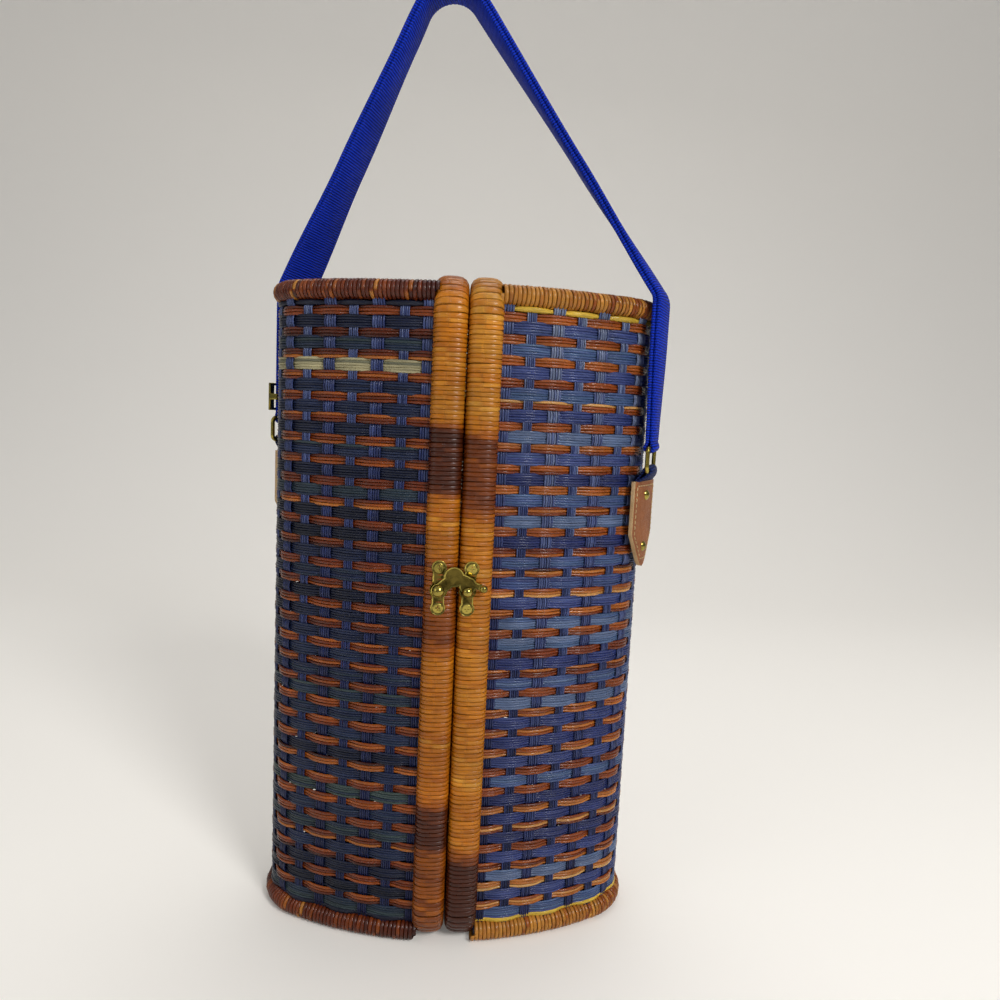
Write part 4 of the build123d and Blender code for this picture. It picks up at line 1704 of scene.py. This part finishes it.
@dataclass
class Fittings:
    """Brass latch, catch, hinges, rings, slider, rivets and screws.

    Attributes:
        rim: Width of the raised rim on the latch's pieces.
        flat: Least share of a face's normal that points at the viewer on a front face.
        crease: Angle in degrees over which an edge stays sharp and is rounded.
        sunk: The pieces with a raised rim, and how deep their faces lie inside it.
        eased: The pieces with eased edges, and the radius.
        plain: The pieces that keep the model's shape.
    """

    rim: float = 0.65
    flat: float = 0.99
    crease: float = 35.0
    sunk: dict[str, float] = field(
        default_factory=lambda: {"latch_plate": 0.4, "catch_plate": 0.4, "latch_hook": 0.25}
    )
    eased: dict[str, float] = field(
        default_factory=lambda: {
            **{"latch_plate": 0.2, "catch_plate": 0.2, "latch_hook": 0.35},
            **{f"{place}_hinge_{side.word}_leaf": 0.25 for place in ("upper", "lower") for side in Side},
            "strap_slider": 0.3,
        }
    )
    plain: tuple[str, ...] = (
        *("latch_plate_screws", "latch_pivot_rivet", "catch_plate_screws", "catch_stud", "hinge_pins"),
        *("left_hinge_screws", "right_hinge_screws", "left_band_tacks", "right_band_tacks"),
        *("left_tab_rivets", "right_tab_rivets", "left_ring", "right_ring"),
    )

    def ease(self, node: str, width: float) -> Piece:
        """Copies a node, merges it and eases its edges.

        Args:
            node: The node.
            width: Radius of the eased edges.

        Returns:
            The new piece.
        """
        obj = Bench.link(f"{node}_brass", frame["nodes"][node].data.copy())
        with Bench.editing(obj):
            bpy.ops.mesh.remove_doubles(threshold=0.00001)
            bpy.ops.mesh.dissolve_limited(angle_limit=math.radians(1.5))
        if node in self.sunk:
            self.raise_rim(obj, self.sunk[node])
        Bench.bevel(obj, width * MM, 3, self.crease)
        Bench.smooth(obj, self.crease)
        return obj

    def raise_rim(self, obj: Piece, depth: float) -> None:
        """Sinks a flat piece's front face inside a narrow rim, and gives it the second material.

        Args:
            obj: The piece.
            depth: How deep the face lies inside the rim.
        """
        facing = [face for face in obj.data.polygons if face.normal.y < -self.flat]
        front = max(facing, key=lambda face: face.area).center.y
        obj.data.materials.append(None)
        Bench.choose(
            obj, "FACE", lambda face: face.normal.y < -self.flat and abs(face.center.y - front) < 0.0001
        )
        with Bench.editing(obj, None):
            bpy.ops.mesh.inset(thickness=self.rim * MM, depth=0.0)
            bpy.ops.transform.translate(value=(0, depth * MM, 0))
            obj.active_material_index = len(obj.data.materials) - 1
            bpy.ops.object.material_slot_assign()

    def build(self, shop: Shop) -> None:
        """Builds every brass piece."""
        bodies = frame["record"]["behaviour"]["bodies"]
        owner = {node: body for body, nodes in bodies.items() for node in nodes}
        for node, width in self.eased.items():
            finishes = (ANTIQUE_BRASS, DULL_BRASS) if node in self.sunk else (ANTIQUE_BRASS,)
            piece = self.ease(node, width)
            Bench.fit(piece, Slot.BRASS, owner[node], (node,), *map(shop, finishes))
        for node in self.plain:
            Bench.dress(frame["nodes"][node], Slot.BRASS, shop(ANTIQUE_BRASS))


@dataclass
class SideHardware:
    """Leather tab, its stitches and the webbing loop on one side.

    Attributes:
        side: Which side.
        turn: Angle of the hardware round the side arc's centre.
        drop: How much lower it sits.
        twist: Extra turn of the ring.
        standoff: X of the ring before it is turned.
        tab_top: Height of the tab's top.
        tab_taper: Height at which its point begins.
        tab_tip: Height of its tip.
        tab_half: Half of its width.
        tab_blunt: Half width of its blunt tip.
        tab_bend: Radius to which it is bent.
        tab_back: How far its back stands off the webbing behind it.
        tab_thickness: Its thickness with that gap.
        webbing: Thickness of the dark webbing.
        webbing_half: Half width of the dark webbing.
        ring_low: Height of the ring's lower bar.
        ring_radius: Radius of the ring's wire.
        stitch: Length of a stitch, distance from stitch to stitch and radius of the thread.
        inset: Distance of the seam from the tab's edge.
    """

    side: Side
    turn: float
    drop: float
    twist: float
    standoff: float = 112.2
    tab_top: float = 267.0
    tab_taper: float = 237.0
    tab_tip: float = 218.0
    tab_half: float = 15.0
    tab_blunt: float = 4.0
    tab_bend: float = 60.0
    tab_back: float = 0.15
    tab_thickness: float = 2.8
    webbing: float = 1.4
    webbing_half: float = 12.5
    ring_low: float = 273.2
    ring_radius: float = 1.2
    stitch: tuple[float, float, float] = (2.1, 3.1, 0.34)
    inset: float = 2.4

    def put(self, rows: Array) -> Array:
        """Puts points of the right side's untwisted hardware on their place.

        Args:
            rows: Points in millimetres.

        Returns:
            The placed points.
        """
        rows = np.array(rows, float)
        rows[..., 0] *= self.side.value
        angle = math.radians(self.turn)
        centre = self.side.value * PLAN.side_centre
        x, y = rows[..., 0] - centre, rows[..., 1].copy()
        rows[..., 0] = centre + x * math.cos(angle) - y * math.sin(angle)
        rows[..., 1] = x * math.sin(angle) + y * math.cos(angle)
        rows[..., 2] -= self.drop
        return rows

    def way(self, rows: Array) -> Array:
        """Turns directions as put turns points."""
        return self.put(rows) - self.put(np.zeros(3))

    def half_at(self, z: float) -> float:
        """The tab's half width at a height: straight sides over a blunt point.

        Args:
            z: The height.

        Returns:
            The half width.
        """
        if z >= self.tab_taper:
            return self.tab_half
        share = (z - self.tab_tip) / (self.tab_taper - self.tab_tip)
        blunt = self.tab_blunt * math.sqrt(max(0.0, 1 - max(0.0, 1 - share * 4.5) ** 2))
        return max(0.35, blunt + (self.tab_half - self.tab_blunt) * max(0.0, share - 0.1) / 0.9)

    def tab_point(self, y: float, z: float, out: float) -> Array:
        """A point of the tab, bent round its own radius, with its sides lifted off the wall.

        Args:
            y: Its length round the tab from the middle.
            z: Its height.
            out: Its distance from the tab's back.

        Returns:
            The point on the right side, before it is put on its place.
        """
        centre = PLAN.half_width + 0.15 + self.webbing - self.tab_bend
        radius = self.tab_bend + out
        angle = y / self.tab_bend
        lift = 0.5 * max(0.0, abs(y) - 9.0) / 6.0
        return np.array([centre + (radius + lift) * math.cos(angle), radius * math.sin(angle), z])

    def tab(self, shop: Shop) -> None:
        """Models the leather tab from a grid that is bent and given its thickness."""
        Bench.clear()
        bpy.ops.mesh.primitive_grid_add(x_subdivisions=20, y_subdivisions=48, size=2)
        obj = Bench.added(f"{self.side.word}_tab")
        for vertex in obj.data.vertices:
            z = self.tab_tip + (vertex.co.y + 1) / 2 * (self.tab_top - self.tab_tip)
            vertex.co = Vector(self.put(self.tab_point(vertex.co.x * self.half_at(z), z, self.tab_back)) * MM)
        with Bench.editing(obj):
            bpy.ops.mesh.normals_make_consistent(inside=False)
        if obj.data.polygons[len(obj.data.polygons) // 2].normal.dot(Vector(self.way(OUT))) < 0:
            obj.data.flip_normals()
        for finish in (TAN_LEATHER, CUT_EDGE):
            obj.data.materials.append(shop(finish))
        thickness = (self.tab_thickness - 2 * self.tab_back) * MM
        Bench.apply(obj, "SOLIDIFY", thickness=thickness, offset=1.0, use_rim=True, material_offset_rim=1)
        Bench.bevel(obj, 0.4 * MM, 2, 50)
        Bench.smooth(obj, 50)
        Bench.fit(obj, Slot.LEATHER, self.side.shell, (f"{self.side.word}_leather_tab",))

    def seam(self) -> Array:
        """The closed line of the stitches inside the tab's edge, as Y and Z."""
        inset, low = self.inset, self.tab_tip + 4.6
        heights = np.arange(self.tab_top - inset, self.tab_tip + 5.0, -0.25)
        line = [(-(self.half_at(z) - inset), z) for z in heights]
        right = [(-y, z) for y, z in reversed(line)]
        tip = [(y, low) for y in np.linspace(line[-1][0], right[0][0], 20)[1:-1]]
        top = [(y, self.tab_top - inset) for y in np.linspace(right[-1][0], line[0][0], 100)[1:-1]]
        return np.array(line + tip + right + top)

    def stitches(self, shop: Shop) -> None:
        """Sews short stitches along the seam."""
        seam, made = self.seam(), []
        steps = lengths(seam)
        length, pitch, thread = self.stitch
        size = thread * np.array([0.5, 0.9, 1, 1, 1, 0.9, 0.5])[:, None]
        out = self.way(OUT)
        for start in np.arange(0.6, steps[-1] - 2.0, pitch):
            spots = []
            for share in np.linspace(0, 1, len(size)):
                y, z = (float(np.interp(start + length * share, steps, column)) for column in seam.T)
                lift = 0.18 * math.sin(math.pi * share)
                spots.append(self.tab_point(y, z, self.tab_thickness - 0.1 + lift))
            points = self.put(np.array(spots))
            wide = unit(np.cross(unit(np.gradient(points, axis=0)), out))
            made.append(Bench.lay("stitch", Section.round(6), Run.through(points, wide * size, out * size)))
        piece = Bench.join(f"{self.side.word}_tab_stitches", made)
        Bench.fit(piece, Slot.LEATHER, self.side.shell, (), shop(THREAD))

    def loop(self, shop: Shop) -> None:
        """Folds the dark webbing from behind the tab round the ring's lower bar and back."""
        wall = PLAN.half_width + 0.1
        half = self.webbing / 2
        eye = self.ring_radius + 0.3 + half
        x, z = self.standoff, self.ring_low
        inner = [(wall + half, 246.0), (wall + half, 256.0), (wall + half + 0.1, 263.0), (wall + 1.5, 268.0)]
        outer = [(x + 0.6, 270.2), (wall + 3.0, 267.8), (wall + 2.1, 266.2), (wall + 1.9, 263.0)]
        flat, _ = spaced(np.array(inner + arc(x, z, eye, 200, -40, 15) + outer), 150)
        for _ in range(3):
            flat[1:-1] = (flat[:-2] + 2 * flat[1:-1] + flat[2:]) / 4
        points = upright(flat)
        share = np.clip((flat[:, 1] - self.tab_top) / (z - self.tab_top), 0, 1)
        angle = np.radians(self.twist) * self.side.value * share
        wide = np.stack([-np.sin(angle), np.cos(angle), np.zeros(len(angle))], axis=1)
        out = unit(np.cross(unit(np.gradient(points, axis=0)), wide))
        run = Run.through(self.put(points), self.way(wide) * self.webbing_half, self.way(out) * half * 0.9)
        piece = Bench.lay(f"{self.side.word}_loop_webbing", Section.flat(0.95), run)
        Bench.fit(piece, Slot.NAVY, self.side.shell, (f"{self.side.word}_ring_loop",), shop(NAVY_WEBBING))

    def build(self, shop: Shop) -> None:
        """Builds the side's soft hardware."""
        self.tab(shop)
        self.stitches(shop)
        self.loop(shop)


@dataclass
class CarryStrap:
    """The doubled strap, in five stretches.

    Attributes:
        left: Hardware of the left side.
        right: Hardware of the right side.
        pitch: Distance from rib to rib.
        rib: Height of the ribs, as a share of a layer's thickness.
        layer: Thickness of one layer.
        gap: Space between the layers.
        width: Width of the webbing.
        section: Cross-section of a layer.
        ring_high: Height of the rings' upper bars.
        rim_bend: Height at which the strap bends inward over the rims.
        corner: The corner of its middle line at the top.
        radii: Radii of its three bends.
        end_top: Height at which its end stretches stop.
        leg_top: Height at which its legs stop.
        left_twist: Heights on the left and the webbing's turn there in degrees.
        right_twist: The same on the right.
    """

    left: SideHardware
    right: SideHardware
    pitch: float = 1.45
    rib: float = 0.07
    layer: float = 2.1
    gap: float = 0.35
    width: float = 25.0
    section: Section = Section.flat(0.955)
    ring_high: float = 286.2
    rim_bend: float = 362.0
    corner: tuple[float, float, float] = (-18.5, -3.0, 539.0)
    radii: tuple[float, ...] = (12.0, 18.0, 12.0)
    end_top: float = 372.0
    leg_top: float = 430.0
    left_twist: tuple[tuple[float, float], ...] = ((350, -40), (366, -38), (430, -18), (498, -5), (525, 0))
    right_twist: tuple[tuple[float, float], ...] = ((278, -21), (340, -27), (366, -27), (430, -14), (525, 0))

    def line(self) -> tuple[Array, Array]:
        """The middle line as close points with their directions, from left ring to right ring."""
        pairs = []
        for hardware in (self.left, self.right):
            base = hardware.put(np.array([hardware.standoff, 0.0, self.ring_high]))
            pairs.append([base, np.array([*base[:2], self.rim_bend])])
        corners = [*pairs[0], np.array(self.corner), *reversed(pairs[1])]
        rough = [corners[0]]
        for radius, last, here, following in zip(self.radii, corners, corners[1:], corners[2:]):
            before, after = unit(last - here), unit(following - here)
            angle = math.acos(float(np.clip(np.dot(before, after), -1, 1)))
            reach = radius / math.tan(angle / 2)
            centre = here + unit(before + after) * radius / math.sin(angle / 2)
            start, end = here + before * reach, here + after * reach
            for share in np.linspace(0, 1, 24):
                rough.append(centre + unit(start + (end - start) * share - centre) * radius)
        rough = np.array([*rough, corners[-1]])
        points, _ = spaced(rough, int(lengths(rough)[-1] / self.pitch) * 4 + 1)
        return points, unit(np.gradient(points, axis=0))

    def turn_at(self, point: Array) -> float:
        """The webbing's turn about the vertical at a point, in radians.

        Args:
            point: The point.

        Returns:
            The turn.
        """
        stations = self.left_twist if point[0] < self.corner[0] else self.right_twist
        for (low, start), (high, end) in zip(stations, stations[1:]):
            if point[2] < high:
                share = min(1.0, max(0.0, (point[2] - low) / (high - low)))
                share = share * share * (3 - 2 * share)
                return math.radians(start + (end - start) * share)
        return math.radians(stations[-1][1])

    def ribs(self, along: Array) -> Array:
        """Factor on a layer's thickness that raises its ribs, at lengths along the strap."""
        return (1 + self.rib * np.cos(2 * math.pi * along / self.pitch))[:, None]

    def layers(self, points: Array, way: Array, along: Array) -> list[Piece]:
        """Models both layers of a stretch.

        Args:
            points: Its middle line.
            way: Its directions.
            along: Lengths from the strap's start, which place the ribs.

        Returns:
            The two layers.
        """
        turns = np.array([self.turn_at(point) for point in points])
        wide = np.stack([np.sin(turns), -np.cos(turns), np.zeros(len(turns))], axis=1)
        wide = unit(wide - way * np.sum(way * wide, axis=1)[:, None])
        out = unit(np.cross(way, wide))
        thick = out * (self.layer / 2 * self.ribs(along))
        tone = np.full(len(points), 0.5)
        shifts = (sign * (self.layer + self.gap) / 2 for sign in (-1, 1))
        runs = (Run(points + out * shift, wide * self.width / 2, thick, along, tone) for shift in shifts)
        return [Bench.lay("layer", self.section, run) for run in runs]

    def eye(self, hardware: SideHardware) -> Piece:
        """Models the fold round a ring's upper bar, from one layer to the other.

        Args:
            hardware: The hardware of the ring's side.

        Returns:
            The fold.
        """
        x, z = hardware.standoff, self.ring_high
        half = self.layer / 2
        radius = hardware.ring_radius + 0.1 + half * 0.9
        reach = (self.layer + self.gap) / 2
        ends = ((reach, 6.0), (reach, 4.0), (reach + 0.1, 2.6))
        down = [(x - out, z + rise) for out, rise in ends]
        up = [(x + out, z + rise) for out, rise in reversed(ends)]
        flat, at = spaced(np.array(down + arc(x, z, radius, 160, 380, 17) + up), 60)
        points = upright(flat)
        angle = math.radians(hardware.twist) * hardware.side.value
        points[:, 1] = (flat[:, 0] - x) * math.sin(angle)
        points[:, 0] = x + (flat[:, 0] - x) * math.cos(angle)
        wide = np.array([-math.sin(angle), math.cos(angle), 0.0])
        out = hardware.way(unit(np.cross(unit(np.gradient(points, axis=0)), wide)))
        thick = out * half * 0.86 * self.ribs(at)
        run = Run.through(hardware.put(points), hardware.way(wide) * self.width / 2, thick)
        return Bench.lay("eye", self.section, run)

    def build(self, shop: Shop) -> None:
        """Builds the five stretches."""
        points, way = self.line()
        along = lengths(points)
        z = points[:, 2]
        top, order = int(np.argmax(z)), np.arange(len(points))
        lower, upper = z <= self.end_top, z > self.leg_top
        legs = ~lower & ~upper
        low = self.ring_high + 4.0
        stretches = {
            "strap_left_end": (order <= top) & (z > low) & lower,
            "strap_left_leg": (order <= top) & legs,
            "strap_top": upper,
            "strap_right_leg": (order >= top) & legs,
            "strap_right_end": (order >= top) & (z > low - self.right.drop) & lower,
        }
        eyes = {"strap_left_end": self.left, "strap_right_end": self.right}
        for node, mask in stretches.items():
            found = np.nonzero(mask)[0]
            index = np.arange(found[0], min(found[-1] + 2, len(points)))
            parts = self.layers(points[index], way[index], along[index])
            if node in eyes:
                parts.append(self.eye(eyes[node]))
            piece = Bench.join(f"{node}_webbing", parts)
            Bench.dress(piece, Slot.BLUE, shop(BLUE_WEBBING))
            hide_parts(node)
            self.follow(piece, node)

    def follow(self, piece: Piece, node: str) -> None:
        """Bakes a stretch's placement into its mesh; the stretch is fixed to no body.

        Args:
            piece: The stretch.
            node: The node that it stands for.
        """
        if node == "strap_top":
            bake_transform(piece)
        elif node.endswith("_leg"):
            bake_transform(piece)
        else:
            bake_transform(piece)


@dataclass
class Studio:
    """Floor, lamps and the camera.

    Attributes:
        location: The camera's place in metres.
        yaw: Its heading in degrees, 0 along +Y.
        pitch: Its rise in degrees.
        roll: Its roll in degrees.
        focal: Its focal length in pixels of a picture 1000 wide.
        film: Width of its film in millimetres.
        lamps: Name, place in metres, width and power of each lamp.
        aim: The point that the lamps face.
    """

    location: tuple[float, float, float] = (-0.0023, -0.4417, 0.2966)
    yaw: float = 3.29
    pitch: float = -6.76
    roll: float = 2.74
    focal: float = 753.7
    film: float = 36.0
    lamps: tuple[tuple[str, tuple[float, float, float], float, float], ...] = (
        ("key_lamp", (0.75, -1.15, 1.15), 0.5, 16.0),
        ("fill_lamp", (-1.3, -0.8, 0.7), 0.9, 2.6),
        ("top_lamp", (0.1, 0.35, 1.6), 0.9, 7.0),
    )
    aim: tuple[float, float, float] = (0, 0, 0.2)

    def floor(self, shop: Shop) -> None:
        """Lays a floor that bends up into a wall behind the basket."""
        Bench.clear()
        bpy.ops.mesh.primitive_plane_add(size=8.0, location=(0, -2.2, -0.0002))
        obj = Bench.added("studio_backdrop")
        vertices = obj.data.vertices
        Bench.choose(obj, "EDGE", lambda edge: all(vertices[i].co.y > 1.0 for i in edge.vertices))
        with Bench.editing(obj, None):
            bpy.ops.mesh.extrude_region_move(TRANSFORM_OT_translate={"value": (0, 0, 4.5)})
        Bench.bevel(obj, 1.1, 24, 60)
        obj.data.shade_smooth()
        obj.data.materials.append(shop(PALE_BACKDROP))

    def world(self) -> None:
        """Lights the basket softly, and shows the camera an even background."""
        world = bpy.data.worlds.new("studio_world")
        bpy.context.scene.world = world
        world.use_nodes = True
        world.node_tree.nodes.clear()
        g = Graph(world.node_tree)
        rays = g.node("ShaderNodeLightPath").outputs
        seen = g.math("MAXIMUM", rays["Is Camera Ray"], rays["Is Transmission Ray"])
        rise = g.split(g.node("ShaderNodeTexCoord").outputs["Generated"])[2]
        sky = g.ramp(g.share(rise, -0.4, 0.8), ((0.0, "4c4e54"), (0.45, "a8acb4"), (1.0, "ffffff")))
        soft = g.node("ShaderNodeBackground", {"Color": sky, "Strength": 0.42})
        shown = g.node("ShaderNodeBackground", {"Color": linear("e9e8e6"), "Strength": 1.0})
        both = g.node("ShaderNodeMixShader", {0: seen, 1: soft.outputs[0], 2: shown.outputs[0]})
        g.node("ShaderNodeOutputWorld", {"Surface": both.outputs[0]})

    def lamp(self, name: str, place: tuple[float, float, float], size: float, power: float) -> None:
        """Hangs a soft lamp that faces the basket.

        Args:
            name: The lamp's name.
            place: Where it hangs, in metres.
            size: Its width.
            power: Its power.
        """
        data = bpy.data.lights.new(name, "AREA")
        data.shape = "DISK"
        data.size = size
        data.energy = power
        obj = Bench.link(name, data)
        obj.location = place
        obj.rotation_euler = (Vector(place) - Vector(self.aim)).to_track_quat("Z", "Y").to_euler()

    def camera(self) -> None:
        """Sets the camera at the photograph's view."""
        yaw, pitch, roll = (math.radians(v) for v in (self.yaw, self.pitch, self.roll))
        ahead = Vector((math.sin(yaw) * math.cos(pitch), math.cos(yaw) * math.cos(pitch), math.sin(pitch)))
        right = Vector((math.cos(yaw), -math.sin(yaw), 0))
        up = right.cross(ahead)
        x = right * math.cos(roll) + up * math.sin(roll)
        y = up * math.cos(roll) - right * math.sin(roll)
        data = bpy.data.cameras.new("photo_view")
        data.sensor_fit = "HORIZONTAL"
        data.sensor_width = self.film
        data.lens = self.film * self.focal / 1000.0
        data.clip_start = 0.01
        obj = Bench.link("photo_view", data)
        obj.matrix_world = Matrix.Translation(self.location) @ Matrix((x, y, -ahead)).transposed().to_4x4()
        bpy.context.scene.camera = obj

    def build(self, shop: Shop) -> None:
        """Sets up the whole studio."""
        bpy.context.scene.view_settings.view_transform = "Standard"
        self.floor(shop)
        self.world()
        for lamp in self.lamps:
            self.lamp(*lamp)
        self.camera()


BANDS = {
    Side.LEFT: (
        *((0, 0.12), (8, 0.45), (52, 0.5), (60, 0.2), (78, 0.22), (86, 0.7), (165, 0.78), (172, 0.45)),
        *((214, 0.5), (222, 0.75), (250, 0.72), (254, 0.18), (284, 0.2), (290, 0.85), (350, 0.8), (362, 0.45)),
    ),
    Side.RIGHT: (
        *((0, 0.12), (48, 0.16), (58, 0.75), (150, 0.82), (238, 0.78), (246, 0.35), (280, 0.35)),
        *((288, 0.85), (365, 0.9)),
    ),
}
RIM_TONES = {Side.LEFT: 0.44, Side.RIGHT: 0.86}
# The left half's lower stake and brown tones and its darker blue rows paint the shade of the half that lies
# away from the light.
WALLS = {
    Side.LEFT: WovenWall(Side.LEFT, SHADED_WEFT, (2,), edge_tone=0.2, stake_tone=0.0, brown_tone=0.36),
    Side.RIGHT: WovenWall(Side.RIGHT, BLUE_WEFT, (), edge_tone=1.0, stake_tone=0.16, brown_tone=0.56),
}


def main() -> None:
    """Builds every sub-assembly in order."""
    logging.basicConfig(level=logging.INFO, format="%(name)s %(message)s", stream=sys.stdout)
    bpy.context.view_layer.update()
    shop = Shop()
    for side in Side:
        StileWraps(side, BANDS[side]).build(shop)
        RimWraps(side, RIM_TONES[side]).build(shop)
        WALLS[side].build(shop)
        EndPanels(side).build(shop)
        BottleBand(side).build(shop)
    Fittings().build(shop)
    left = SideHardware(Side.LEFT, turn=-40.0, drop=0.0, twist=0.0)
    right = SideHardware(Side.RIGHT, turn=-33.0, drop=6.0, twist=12.0)
    left.build(shop)
    right.build(shop)
    CarryStrap(left, right).build(shop)
    Studio().build(shop)


if __name__ == "__main__":
    main()
